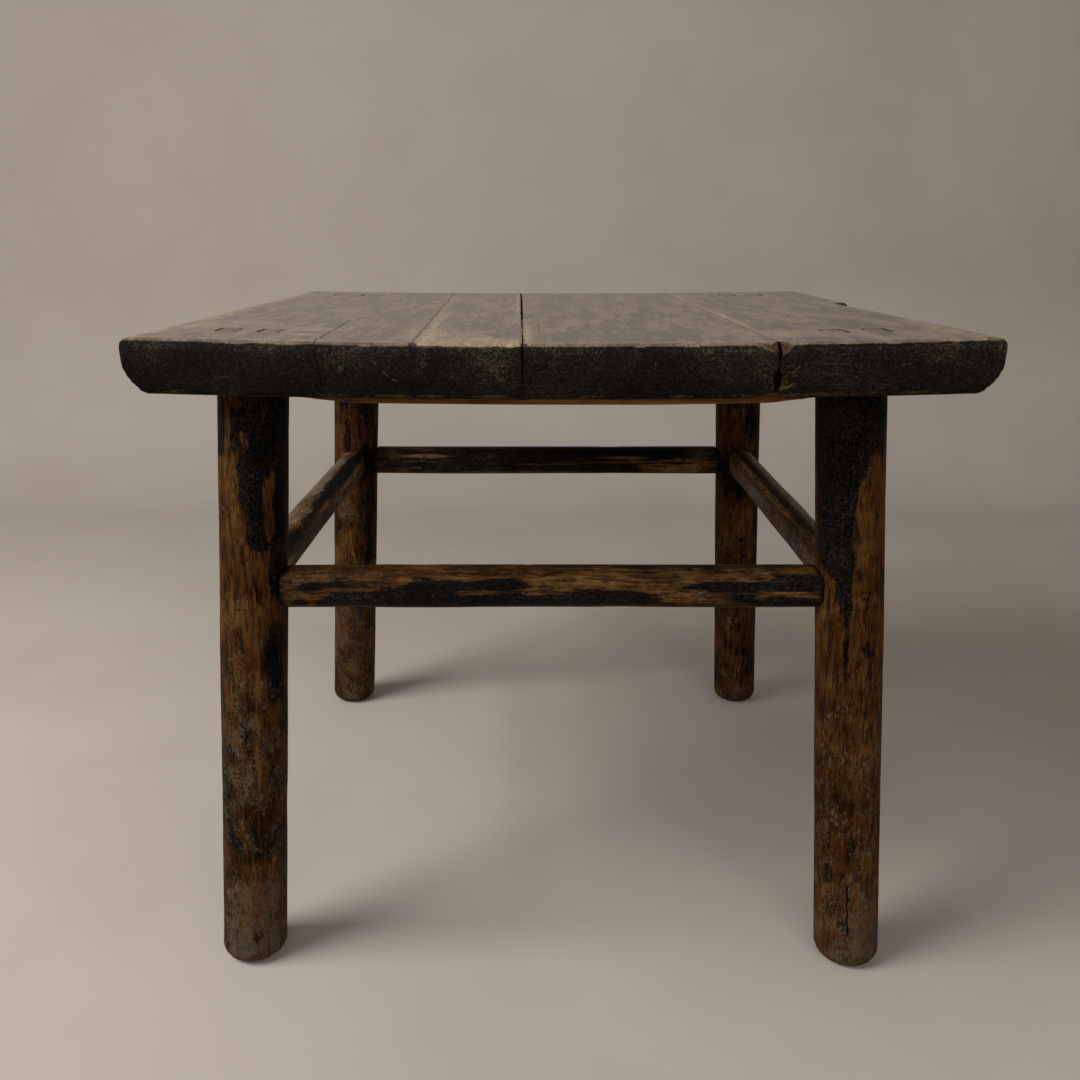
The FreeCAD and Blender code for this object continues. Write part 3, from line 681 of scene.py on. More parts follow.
# Lighter and darker places on the top, in the same form.
TOP_TONE = [
    (235, 0, 90, 330, 0.13), (60, 0, 90, 330, 0.07), (-251, -250, 12, 9, -0.20), (-225, -250, 10, 9, -0.16),
    (-200, -262, 24, 8, -0.10), (-150, -230, 40, 30, -0.07), (-140, -60, 60, 50, 0.05),
    (40, -250, 60, 40, -0.03), (80, -100, 80, 60, 0.10), (210, -200, 60, 50, 0.04),
    (230, -60, 50, 80, 0.08), (20, 120, 70, 60, -0.05), (-76, 60, 30, 120, 0.06), (180, 180, 60, 60, 0.04),
]

# Thin dark cracks on the top: from, to (across, along in mm) and strength.
TOP_CRACKS = [
    ((-174, -309), (-180, -123), 0.55),
    ((-128, 70), (-115, 70), 0.7), ((-134, -110), (-115, -108), 0.8), ((-124, -14), (-114, -14), 0.6),
    ((-30, -150), (-20, -128), 0.8), ((-28, -60), (-22, -40), 0.5),
    ((201, -238), (216, -239), 0.5), ((232, -238), (247, -238), 1.0),
    ((40, -90), (62, -88), 0.5), ((228, 20), (243, 22), 0.6),
    ((130, 262), (150, 255), 0.7), ((-262, -240), (-240, -243), 0.8), ((-228, -246), (-210, -244), 0.7),
]

# Cracks in the front edge: from, to (across, height in mm) and strength.
FRONT_CRACKS = [
    ((-173, 539), (-169, 507), 0.5), ((-22, 520), (-8, 526), 0.7), ((60, 512), (110, 514), 0.45),
]

# Pale scratches on the front edge, in the same form.
FRONT_SCORES = [
    ((-133, 530), (-128, 521), 0.6), ((-128, 521), (-115, 512.5), 0.6), ((-131, 526), (-121, 517), 0.5),
    ((152, 509), (167, 525), 0.6), ((145, 506), (155, 515), 0.5), ((65, 530), (63, 519), 0.5),
    ((-206, 532), (-198, 534), 0.5), ((-60, 531), (-52, 526), 0.5), ((230, 520), (247, 526), 0.45),
    ((100, 531), (112, 527), 0.45), ((190, 529), (199, 533), 0.5), ((-250, 512), (-232, 515), 0.45),
]

# Rubbed places on the front edge: across, height, half sizes (mm) and strength.
FRONT_WEAR = [
    (0, 536, 330, 4, 0.15), (-292, 530, 14, 9, 0.22), (-160, 528, 13, 9, 0.25), (255, 532, 20, 9, 0.29),
    (-66, 526, 38, 16, 0.12), (-306, 518, 9, 18, 0.20), (304, 532, 8, 8, 0.20), (-101, 526, 6, 10, 0.30),
    (60, 534, 34, 6, 0.14), (148, 512, 26, 12, 0.08),
]

# Splinters gone from the upper edge: the plank and three corners (mm) of the plane they left.
SPLINTERS = [
    ("middle_board", (134, -310, 535.0), (152, -310, 532.2), (152, -302.4, 540)),
    ("right_board", (162, -310, 535.3), (151, -310, 530.6), (151, -301.0, 540)),
]
SIDE_SPLINTER = ((290, 75, 540), (310, 75, 531), (303, -270, 540))
SIDE_SPLINTER_END = 75

# How much of the side splinter's depth shows as broken wood.
SIDE_RAWNESS = 0.3

# The lobes of the hole below the broken corners: centre, radius and depth (mm).
HEART_HOLE = [((151, -309, 514), 6.5, 4.5), ((158, -309, 512.5), 7.0, 4.5), ((153, -308, 509), 6.5, 4.5)]

# The notch at the lower front end of the right seam (mm): it narrows upwards from its foot.
NOTCH_MIDDLE, NOTCH_BACK = 148, -262
NOTCH_FOOT, NOTCH_CEILING = 498, 506
NOTCH_HALF_WIDTH, NOTCH_TAPER, NOTCH_DEPTH = 12, 1.6, 6.0


def edge_arcs():
    """The moulding's arcs: centre (inset, height), radius, then the insets and heights they span (mm)."""
    thick = (TOP_LEVEL - UNDERSIDE) / MM
    shoulder = thick - EDGE_TOP_ROUND
    start = shoulder - EDGE_BAND
    rise, reach = start - EDGE_UNDER_ROUND, EDGE_INSET - EDGE_UNDER_ROUND
    between = (rise ** 2 + reach ** 2) / (2 * reach)
    large = between + EDGE_UNDER_ROUND
    meet_inset, meet_height = reach * large / between, start - rise * large / between
    return [
        (EDGE_TOP_ROUND, shoulder, EDGE_TOP_ROUND, (0, EDGE_TOP_ROUND), (shoulder, thick)),
        (large, start, large, (0, meet_inset), (meet_height, start)),
        (EDGE_INSET, EDGE_UNDER_ROUND, EDGE_UNDER_ROUND, (meet_inset, EDGE_INSET), (0, meet_height)),
    ]


def true_edge(points):
    """Brings points near the moulding's rounds onto them, as the model's own mesh has flats there."""
    height = (points[:, 2] - UNDERSIDE) / MM
    insets = [(HALF_WIDTH - np.abs(points[:, 0])) / MM, (HALF_DEPTH - np.abs(points[:, 1])) / MM]
    corner = np.hypot(CORNER_ROUND - insets[0], CORNER_ROUND - insets[1])
    on_corner = (np.maximum(*insets) < CORNER_ROUND) & (corner > CORNER_ROUND - 0.8)
    for axis in (X_AXIS, Y_AXIS):
        inset, other = insets[axis], insets[1 - axis]
        for centre_inset, centre_height, radius, span, rise in edge_arcs():
            distance = np.hypot(inset - centre_inset, height - centre_height)
            chosen = (np.abs(distance - radius) < ROUND_REACH) & (other > inset - 0.7) & ~on_corner
            chosen &= (inset > span[0] - 1) & (inset < span[1])
            chosen &= (height > rise[0] - 1) & (height < rise[1])
            scale = radius / distance[chosen] - 1
            side = np.sign(points[chosen, axis])
            points[chosen, axis] -= side * (inset[chosen] - centre_inset) * scale * MM
            points[chosen, 2] += (height[chosen] - centre_height) * scale * MM


def seam_distance(points, seam):
    """How far right of a seam a point lies (mm)."""
    share = (points[:, 1] + HALF_DEPTH) / (2 * HALF_DEPTH)
    return points[:, 0] / MM - (seam["front"] + (seam["back"] - seam["front"]) * share)


def rubbed_seams(points, seams):
    """Pale rubbed wood along the arrises of the seams."""
    along = points[:, 1] / MM
    places = [painted(seam_distance(points, seam), along, seam["rubbed"]) for seam in seams]
    return np.max(places, axis=0)


def close_seams(piece):
    """Brings the plank's side faces up to the seam lines, so that planks meet edge to edge."""
    normals = piece.normals()
    for seam in SEAMS:
        if piece.node not in seam["planks"]:
            continue
        towards = 1 if piece.node == seam["planks"][0] else -1
        gap = seam_distance(piece.points, seam)
        side_face = (np.abs(gap) < 1.7 * BOARD_VOXEL / MM) & (normals[:, 0] * towards > 0.3)
        piece.points[side_face, 0] -= (gap[side_face] + towards * SEAM_FIT) * MM


def break_front(piece):
    """The damage about the front of the right seam and along the right side; returns its depth."""
    points = piece.points
    depth = np.zeros(len(points))
    for board, *corners in SPLINTERS:
        if board == piece.node:
            depth += split_off(points, corners)
    if piece.node == "right_board":
        beside = points[:, 1] < SIDE_SPLINTER_END * MM
        kept = points[~beside].copy()
        gone = split_off(points, SIDE_SPLINTER)
        points[~beside] = kept
        depth += gone * beside * SIDE_RAWNESS
    hole = np.max([hollow(points, *lobe) for lobe in HEART_HOLE], axis=0)
    height = points[:, 2] / MM
    half_notch = np.clip(NOTCH_HALF_WIDTH - (height - NOTCH_FOOT) * NOTCH_TAPER, 0.1, None)
    notch = 1 - blend_step(0.8, 1.1, np.abs(points[:, 0] / MM - NOTCH_MIDDLE) / half_notch)
    notch = NOTCH_DEPTH * MM * notch * (points[:, 1] < NOTCH_BACK * MM) * (height < NOTCH_CEILING)
    piece.sink(hole + notch)
    return depth + hole + notch


def open_seam(piece, points):
    """Opens one seam at the top and the front, wider towards the back and closed at the back edge."""
    gap = seam_distance(points, OPEN_SEAM)
    at_top = blend_step(TOP_LEVEL - 9 * MM, TOP_LEVEL - 1 * MM, points[:, 2])
    at_front = 1 - blend_step(-HALF_DEPTH + 1 * MM, -HALF_DEPTH + 8 * MM, points[:, 1])
    width = 0.25 + 0.65 * blend_step(-0.25, 0.0, points[:, 1]) + 0.25 * noise(points, 40, 5)
    opened = np.clip(width, 0, 1) * MM * np.maximum(at_top, 0.5 * at_front)
    opened *= 1 - blend_step(0.8, 4.0, np.abs(gap))
    opened *= 1 - blend_step(HALF_DEPTH - 16 * MM, HALF_DEPTH - 5 * MM, points[:, 1])
    piece.points[:, 0] += opened * np.sign(gap)


def plank(node, seed):
    """One plank of the top, with its wear, damage and sag."""
    piece = Piece(node, BOARD_VOXEL)
    start = piece.points.copy()
    seams = [seam for seam in SEAMS if node in seam["planks"]]
    gaps = np.array([seam_distance(start, seam) for seam in seams])
    nearest_seam = np.abs(gaps).argmin(axis=0)
    seam_gap = np.take_along_axis(gaps, nearest_seam[None], 0)[0]
    free = blend_step(2.5, 8.0, np.abs(seam_gap)) * (1 - near_tenons(start))
    sharp = piece.spread(piece.sharpness(BOARD_VOXEL), 3) * free
    true_edge(piece.points)
    piece.even_out(8, free)
    piece.smooth(3, np.clip(0.2 + 0.3 * noise(start, 30, seed), 0.03, 0.5) * free)
    close_seams(piece)

    points, normals = piece.points.copy(), piece.normals()
    across, along, height = points.T / MM
    top_side = blend_step(0.55, 0.85, normals[:, 2])
    under_side = blend_step(0.90, 0.985, -normals[:, 2])
    edge_side = (1 - top_side) * (1 - under_side)
    uneven = 0.16 * MM * (1 + noise(points, 12, seed + 1))
    uneven += (0.08 - 0.06 * top_side) * MM * (1 + noise(points, 170, seed + 2))
    knocks = dents(points, seed + 3, 110, (2.5 * MM, 7 * MM), (0.15 * MM, 0.6 * MM))
    nicks = 1.0 * MM * np.clip(noise(points, 110, seed + 4) - 0.1, 0, 1) * sharp
    piece.sink((uneven + knocks * (0.25 + edge_side) + nicks) * free)
    bites = break_front(piece)
    open_seam(piece, points)

    front = normals[:, 1] < -0.5
    frames = tenon_frames(points)
    framed = (frames > 0.3) & (top_side > 0.5)
    crack, crack_power = line_marks(points, across, along, TOP_CRACKS)
    front_crack, front_power = line_marks(points, across, height, FRONT_CRACKS)
    on_front = front & (np.abs(front_crack) < np.abs(crack))
    crack = np.where(framed, 0.0, np.where(on_front, front_crack, crack))
    crack_power = np.where(on_front, front_power, crack_power * top_side)
    crack_power = np.where(framed, 0.5 * frames, crack_power)
    score, score_power = line_marks(points, across, height, FRONT_SCORES)
    darkness = np.array([(seam["top_dark"], seam["front_dark"]) for seam in seams])[nearest_seam]
    seam_power = darkness[:, 0] * top_side + darkness[:, 1] * (1 - top_side)
    at_seam = np.abs(seam_gap) < np.abs(crack)
    seam_notch = (1 - blend_step(1.0, 3.5, np.abs(seam_gap))) * (along < -HALF_DEPTH / MM + 9)

    blot = rough_noise(points, 26, seed + 5)
    patches = rough_noise(points, 75, seed + 8, grain_scale(Y_AXIS, 0.22))
    lower_arris = blend_step(-0.84, -0.78, normals[:, 2]) * (1 - blend_step(-0.62, -0.50, normals[:, 2]))
    broken = np.clip(bites / (1.5 * MM), 0, 1)
    pale_wood = np.maximum(painted(across, along, TOP_TAN), rubbed_seams(points, seams))
    top_lacquer = 0.45 + 0.30 * patches - 0.8 * frames - 1.5 * pale_wood
    lacquer = 1.1 * edge_side + 0.35 * under_side + top_side * top_lacquer
    lacquer = lacquer - 0.75 * lower_arris * (0.8 + 0.7 * blot) - 2.0 * broken + 1.5 * (broken > 0.97)
    tone = 0.05 * blot + top_side * painted(across, along, TOP_TONE)
    piece.mark(
        lacquer=lacquer,
        tone=tone - 0.5 * seam_notch - 0.4 * top_side * frames,
        wear=painted(across, height, FRONT_WEAR) * edge_side + 0.12 * sharp - 0.06,
        tan=top_side * pale_wood + (1 - top_side) * ABSENT,
        raw=broken + 0.75 * lower_arris,
        grey=-0.2,
        pale=ABSENT,
        dust=-0.12 + 0.06 * edge_side,
        crack=np.where(at_seam, 0.6 * seam_gap, crack),
        crack_power=np.where(at_seam, seam_power, crack_power),
        score=score,
        score_power=score_power * front,
    )
    piece.points[:, 2] -= sag(points)
    piece.finish("top_boards", [top_material, edge_material],
                 lambda centres, facing: facing[:, 2] < TOP_FACING)


def tenon_looks(points):
    """The values for the ends of tenons and wedges in the top."""
    across, along, _ = points.T / MM
    crack, crack_power = line_marks(points, across, along, TOP_CRACKS)
    return {"lacquer": 0.1, "tone": 0.0, "tan": painted(across, along, TOP_TAN), "grey": -0.2,
            "pale": ABSENT, "dust": -0.12, "crack": crack, "crack_power": crack_power}


# The legs: marks as seen from the front, across from the axis, height, half sizes (mm) and strength

LEG_PAINT = {
    "front_left": {
        "lacquer": [
            (8, 477, 34, 26, 0.95), (-22, 468, 7, 24, 0.85), (-14, 466, 2.6, 22, 0.0), (-9, 488, 7, 6, 0.2),
            (11, 450, 20, 22, 0.95), (13, 425, 17, 24, 0.95), (15, 400, 15, 24, 0.95),
            (14, 380, 12, 8, 0.95), (-2, 461, 2.5, 4, 0.1), (1, 454, 1.5, 6, 0.3),
            (15.5, 412, 2.8, 20, 0.1), (17.5, 390, 3.2, 14, 0.0), (19, 424, 2, 10, 0.1),
            (24, 352, 6, 28, 0.85), (21, 281, 8, 34, 0.75), (-14, 284, 9, 40, 0.36),
            (-17, 333, 6, 12, 0.40), (-1, 228, 3, 22, 0.6), (-14, 246, 5, 20, 0.45), (0, 126, 24, 34, 0.36),
            (17, 132, 8, 30, 0.45), (22, 254, 5, 14, 0.7), (20, 170, 5, 15, 0.5), (14, 60, 12, 26, 0.05),
            (-20, 205, 8, 70, 0.52), (0, 214, 4, 38, 0.56), (0, 122, 26, 24, 0.44), (16, 150, 7, 36, 0.44),
        ],
        "tone": [(0, 420, 40, 90, 0.06), (0, 150, 60, 180, 0.03), (9.5, 215, 1.8, 70, 0.32),
                 (12, 70, 11, 26, 0.16), (3, 320, 13, 16, 0.10)],
        "grey": [(0, 130, 60, 190, 0.54), (0, 8, 60, 84, 0.74), (-22, 120, 7, 130, 0.50),
                 (0, 125, 40, 40, 0.46), (-14, 290, 10, 45, 0.44)],
        "dust": [(0, 110, 40, 140, 0.22), (0, 20, 60, 36, 0.44), (-12, 125, 8, 20, 0.24),
                 (-21, 437, 3, 12, 0.24), (-16, 328, 6, 8, 0.24), (12, 385, 8, 8, 0.16)],
        "cracks": [((-11, 205), (-11, 184), 0.5), ((20, 470), (20, 438), 0.5)],
    },
    "front_right": {
        "lacquer": [
            (0, 477, 40, 38, 0.98), (12, 450, 10, 12, 0.9), (25, 438, 5, 24, 0.0), (5, 438, 11, 12, 0.52),
            (-16, 428, 13, 30, 1.05), (-17, 395, 13, 38, 1.05), (-15, 368, 11, 18, 0.95),
            (-10, 342, 6, 28, 0.85), (-9.5, 287, 2.8, 34, 0.7), (-22, 318, 4, 32, 0.0),
            (10, 291, 7, 9, 0.45), (16, 176, 3, 10, 0.5), (-3, 112, 6, 22, 0.48), (3, 98, 3, 14, 0.55),
            (-20, 88, 5, 12, 0.5), (-11, 44, 3.5, 5, 0.9), (-5, 40, 2.5, 3, 0.9),
        ],
        "tone": [(0, 180, 60, 200, 0.12), (8, 380, 22, 60, 0.10), (-14, 190, 12, 160, -0.02),
                 (12, 190, 14, 130, 0.12), (10, 60, 10, 40, 0.16)],
        "grey": [(0, 110, 60, 170, 0.34), (0, 4, 60, 76, 0.70), (-22, 100, 7, 100, 0.44),
                 (20, 240, 5, 40, 0.40)],
        "dust": [(0, 100, 40, 130, 0.20), (0, 20, 60, 30, 0.36), (15, 145, 8, 18, 0.28),
                 (3, 219, 4, 6, 0.26), (-16, 66, 6, 12, 0.24)],
        "cracks": [((-6.5, 84), (-6.5, 34), 1.0), ((-1, 339), (13, 338), 0.45), ((0, 333), (11, 334), 0.5)],
    },
    "back_left": {
        "lacquer": [
            (0, 450, 60, 60, 0.6), (-6, 368, 4, 20, 0.85), (16, 325, 14, 34, 0.85), (0, 270, 40, 60, 0.36),
            (-9, 234, 9, 15, 0.0), (18, 240, 9, 70, 0.52), (0, 100, 40, 60, 0.38),
        ],
        "tone": [(0, 100, 60, 120, 0.06), (-9, 234, 9, 15, 0.12)],
        "grey": [(0, 10, 60, 30, 0.6), (-8, 275, 18, 25, 0.66), (0, 90, 60, 100, 0.58)],
        "dust": [(0, 260, 30, 60, 0.26), (0, 60, 40, 60, 0.20)],
    },
    "back_right": {
        "lacquer": [
            (0, 450, 60, 50, 0.6), (12, 385, 12, 25, 0.55), (-6, 325, 20, 34, 0.85), (-4, 230, 15, 58, 0.0),
            (23, 250, 5, 120, 0.7), (2, 235, 3, 4, 0.8), (5, 213, 3, 4, 0.8), (0, 110, 40, 60, 0.30),
        ],
        "tone": [(0, 240, 60, 260, 0.05), (0, 60, 60, 90, 0.02)],
        "grey": [(0, 10, 60, 30, 0.5), (21, 260, 6, 80, 0.45)],
        "dust": [(0, 80, 40, 80, 0.16)],
    },
}

# Lacquer on the side of every leg that the photograph does not show, in the same form.
LEG_BACK_LACQUER = [(0, 478, 400, 46, 0.9)]

# How uneven the face about the end of a side stretcher's tenon is.
LUMP_DEPTHS = {"front_left": 0.75 * MM, "front_right": 0.35 * MM,
               "back_left": 0.3 * MM, "back_right": 0.3 * MM}

# How much wider and deeper the wedges have made the tenons' upper ends.
TENON_SPREAD = (0.07, 0.035)


def leg_looks(name, points):
    """The values that a leg's material reads, also for the tenon ends that show in its face."""
    line = LEGS[name]
    paint = LEG_PAINT[name]
    seed = LEG_SEEDS[name] + 4
    away = line.offset(points)
    across, height = away[:, 0] / MM, points[:, 2] / MM
    facing = blend_step(-0.1, 0.3, -away[:, 1] / line.radius)
    blot = rough_noise(points, 30, seed, (1, 1, 0.25))
    patch = rough_noise(points, 75, seed + 9, (1, 1, 0.4))
    drawn = painted(across, height, paint["lacquer"]) + 0.22 * patch
    behind = painted(across, height, LEG_BACK_LACQUER) + 0.22 + 0.4 * blot
    arc = across if name.startswith("front") else across + 400 * (away[:, 1] > 0)
    crack, crack_power = line_marks(points, arc, height, paint.get("cracks", []))
    return {
        "age": 0.35 + 0.4 * (1 - blend_step(150, 330, height)) + 0.25 * blot,
        "lacquer": facing * drawn + (1 - facing) * behind,
        "tone": painted(across, height, paint["tone"]),
        "wear": -0.04,
        "tan": ABSENT,
        "grey": np.maximum(painted(across, height, paint["grey"]), 0.05) - 0.1,
        "pale": ABSENT,
        "dust": painted(across, height, paint["dust"]) - 0.06,
        "crack": crack,
        "crack_power": crack_power * (away[:, 1] < 0),
    }


def end_dressing(points, line, depth):
    """How far the face about a through tenon's end is worn down, alike on the leg and the tenon."""
    height = (points[:, 2] - RAIL_LEVEL) / MM
    across = line.offset(points)[:, 0] / MM
    return spot(across, height, 2, -4, 17, 20) * depth * (1 + noise(points, 85, 31))


def leg(name, seed):
    """One leg with its tenons, smooth where it is joined and worn elsewhere, most of all low down."""
    line = LEGS[name]
    piece = Piece(f"{name}_leg", BAR_VOXEL)
    start = piece.points.copy()
    height = start[:, 2] / MM
    in_top = blend_step(UNDERSIDE / MM - 2, UNDERSIDE / MM + 3, height)
    inside = np.linalg.norm(line.offset(start), axis=1) < line.radius - 1.5 * MM
    by_mortise = piece.spread(inside.astype(float), 3) > 0.05
    piece.even_out(6, np.where(by_mortise | (in_top > 0), 0.0, 1.0))
    away = line.offset(piece.points)
    reach = np.linalg.norm(away, axis=1)
    rim = (reach > line.radius - 2.4 * MM) & (in_top == 0) & (height > 60) & by_mortise
    piece.points[rim, :2] += away[rim] * (line.radius / reach[rim] - 1)[:, None]

    points = piece.points.copy()
    low_down = 1 - blend_step(30, 330, height)
    outer = away[:, 1] * line.outward > 0
    through = spot(away[:, 0] / MM, height - RAIL_LEVEL / MM, 0, 0, 16, 19) * outer
    shaped = 0.45 * MM * noise(points, 22, seed, (1, 1, 0.35))
    grooves = 0.18 * MM * noise(points, 190, seed + 1, (1, 1, 0.06))
    knocks = dents(points, seed + 2, 110, (1.6 * MM, 5 * MM), (0.2 * MM, 1.0 * MM))
    gouges = 0.9 * MM * np.clip(noise(points, 150, seed + 5, (1, 1, 0.12)) - 0.12, 0, 1)
    chips = 0.6 * MM * np.clip(noise(points, 260, seed + 6, (1, 1, 0.4)) - 0.25, 0, 1)
    worn = shaped + grooves + knocks * (0.5 + 0.8 * low_down) + (gouges + chips) * (0.4 + 0.6 * low_down)
    piece.sink(worn * ((1 - in_top) * (1 - through)))
    lumps = end_dressing(points, line, LUMP_DEPTHS[name]) * outer * (1 - inside)
    piece.points[:, 1] -= line.outward * lumps

    looks = leg_looks(name, points)
    for field, values in tenon_looks(points).items():
        looks[field] = np.where(in_top > 0.5, values, looks[field])
    piece.mark(**looks)
    tenon_middle = line.head[0] + np.sign(points[:, 0] - line.head[0]) * TENON_OFFSET
    near_end = blend_step(TOP_LEVEL - 6 * MM, TOP_LEVEL - 2 * MM, points[:, 2])
    piece.points[:, 0] += (points[:, 0] - tenon_middle) * TENON_SPREAD[0] * near_end
    piece.points[:, 1] += (points[:, 1] - line.head[1]) * TENON_SPREAD[1] * near_end
    piece.points[:, 2] -= sag(points) * in_top
    tenon_level = TOP_LEVEL - 8 * MM
    piece.finish("legs", [leg_material, top_material], lambda centres, facing: centres[:, 2] > tenon_level)


# The stretchers: marks along (mm) and degrees round from the top towards the front, half sizes, strength

RAIL_LACQUER = {
    "front_stretcher": [
        (-45, 5, 48, 16, 0.45), (90, 5, 105, 16, 0.50), (-111, 101, 24, 40, 1.15),
        (-155, 117, 29, 30, 1.10), (-199, 76, 12, 13, 1.05), (-178, 70, 12, 7, 0.95),
        (-186, 128, 8, 17, 0.85), (-208, 128, 6, 14, 0.75), (-194, 98, 7, 10, 0.15),
        (-165, 84, 18, 7, 0.15), (-86, 72, 12, 15, 1.05), (-50, 70, 23, 17, 1.05), (-48, 128, 54, 27, 1.10),
        (-155, 134, 40, 18, 1.05), (-67, 95, 26, 5, 0.10), (39, 114, 42, 28, 1.10), (-5, 116, 9, 15, 0.92),
        (70, 34, 6.5, 5, 0.85), (145, 75, 41, 16, 1.10), (108, 76, 10, 6, 0.95), (188, 64, 20, 27, 1.05),
        (146, 111, 11, 10, 0.88), (178, 124, 30, 17, 1.05), (161, 107, 5, 9, 0.0), (185, 98, 24, 6, 0.0),
        (83, 79, 14, 5, 0.45),
    ],
    "back_stretcher": [
        (0, 80, 300, 110, 0.70), (-4, 100, 36, 5, 0.05), (-200, 128, 20, 7, 0.1), (-160, 62, 26, 8, 0.0),
        (-172, 85, 13, 5, 0.3), (84, 69, 34, 7, 0.0), (75, 92, 48, 5, 0.05), (156, 108, 50, 33, 0.14),
        (150, 96, 40, 4, 0.7), (-53, 146, 90, 8, 0.1),
    ],
}
RAIL_TONE = {
    "front_stretcher": [(-115, 56, 17, 8, 0.22), (-40, 50, 60, 8, 0.12), (30, 56, 34, 18, 0.15),
                        (95, 105, 30, 22, 0.10)],
    "back_stretcher": [(-160, 62, 26, 8, 0.22), (84, 69, 34, 7, 0.22), (156, 108, 50, 33, 0.16),
                       (-53, 146, 90, 8, 0.1)],
}
RAIL_GREY = {
    "front_stretcher": [(-175, 40, 45, 30, 0.5)],
    "back_stretcher": [(-85, 63, 36, 20, 0.45), (184, 46, 22, 28, 0.6)],
}

# Knots in the stretchers: along (mm), degrees from the top, radius (mm) and strength.
KNOTS = {
    "front_stretcher": [(-138.6, 86, 2.4, 0.7), (-137.0, 82, 6.5, 0.42), (191.5, 70, 1.8, 0.7)],
    "right_stretcher": [(-148, 19, 3.5, 0.6), (-147, 21, 8.5, 0.8)],
}

# How much of the surface one degree spans (mm).
DEGREE_SPAN = 0.27

# The side stretchers: marks as degrees from the top towards the inside, along (mm), half sizes, strength.
SIDE_LACQUER = {
    "left": [(34, 90, 22, 150, 0.92), (50, -150, 26, 42, 0.88), (76, 130, 14, 70, 0.0),
             (60, -20, 12, 22, 0.05), (96, -190, 20, 30, 0.0), (110, 40, 22, 120, 0.40)],
    "right": [(19, 60, 14, 140, 0.95), (19, -110, 12, 50, 0.72), (38, 40, 7, 160, 0.0),
              (90, 0, 34, 260, 0.30)],
}
SIDE_TONE = {
    "left": [(76, 130, 14, 70, 0.40), (60, -20, 12, 22, 0.38), (96, -190, 20, 30, 0.38),
             (10, -90, 20, 40, 0.20)],
    "right": [(70, 0, 60, 300, 0.08), (38, 40, 9, 160, 0.50), (20, -150, 30, 26, 0.36),
              (-5, 60, 10, 200, 0.24)],
}
# Pale dust on the side stretchers' faces; the strong mark on the right one's upper facet is painted light,
# brightening a facet that lies in shade under the top.
SIDE_PALE_DUST_AND_LIGHT = {
    "left": [(-20, 0, 30, 300, 0.72), (18, -75, 18, 34, 0.44), (112, 0, 25, 260, 0.34)],
    "right": [(-26, 0, 27, 300, 1.6), (92, 0, 36, 300, 0.54)],
}

# How far a through tenon's end swells to fill its mortise, and how far it and its wedge stand out.
END_SWELL = 1.1 * MM
TENON_PROUD, WEDGE_PROUD = 0.05 * MM, 0.10 * MM


def ring_marks(across, girth, rings):
    """Signed distance (mm) to the nearest of some rings, and how strongly each is cut there."""
    nearest = np.full(len(across), FAR)
    power = np.zeros(len(across))
    for centre_across, centre_girth, radius, strength in rings:
        turn = np.arctan2((girth - centre_girth) * DEGREE_SPAN, across - centre_across)
        uneven = 1 + 0.16 * np.sin(2 * turn + radius) + 0.09 * np.sin(3 * turn + 2 * radius)
        side = np.hypot(across - centre_across, (girth - centre_girth) * DEGREE_SPAN) - radius * uneven
        closer = np.abs(side) < np.abs(nearest)
        nearest = np.where(closer, side, nearest)
        power = np.where(closer, strength, power)
    return nearest, power


def end_flush(piece, name, looks):
    """Dresses a through tenon's end to the round face of its leg, close in its mortise."""
    line = LEGS[name]
    points = piece.points
    away = line.offset(points)
    height = points[:, 2] - RAIL_LEVEL
    near_end = blend_step(line.radius - 8 * MM, line.radius - 4 * MM, away[:, 1] * line.outward)
    half_across = np.abs(away[near_end > 0, 0]).max()
    half_height = np.abs(height[near_end > 0]).max()
    points[:, 0] += away[:, 0] / half_across * END_SWELL * near_end
    points[:, 2] += height / half_height * END_SWELL * near_end
    away = line.offset(points)
    proud = TENON_PROUD if piece.node.endswith("stretcher") else WEDGE_PROUD
    face = np.sqrt(np.clip(line.radius ** 2 - away[:, 0] ** 2, 0, None)) + proud
    face -= end_dressing(points, line, LUMP_DEPTHS[name])
    at_end = away[:, 1] * line.outward > line.radius - 3.2 * MM
    points[:, 1] += np.where(at_end, line.outward * face - away[:, 1], 0)
    for field, values in leg_looks(name, points).items():
        looks[field] = np.where(near_end > 0, values, looks.get(field, 0.0))


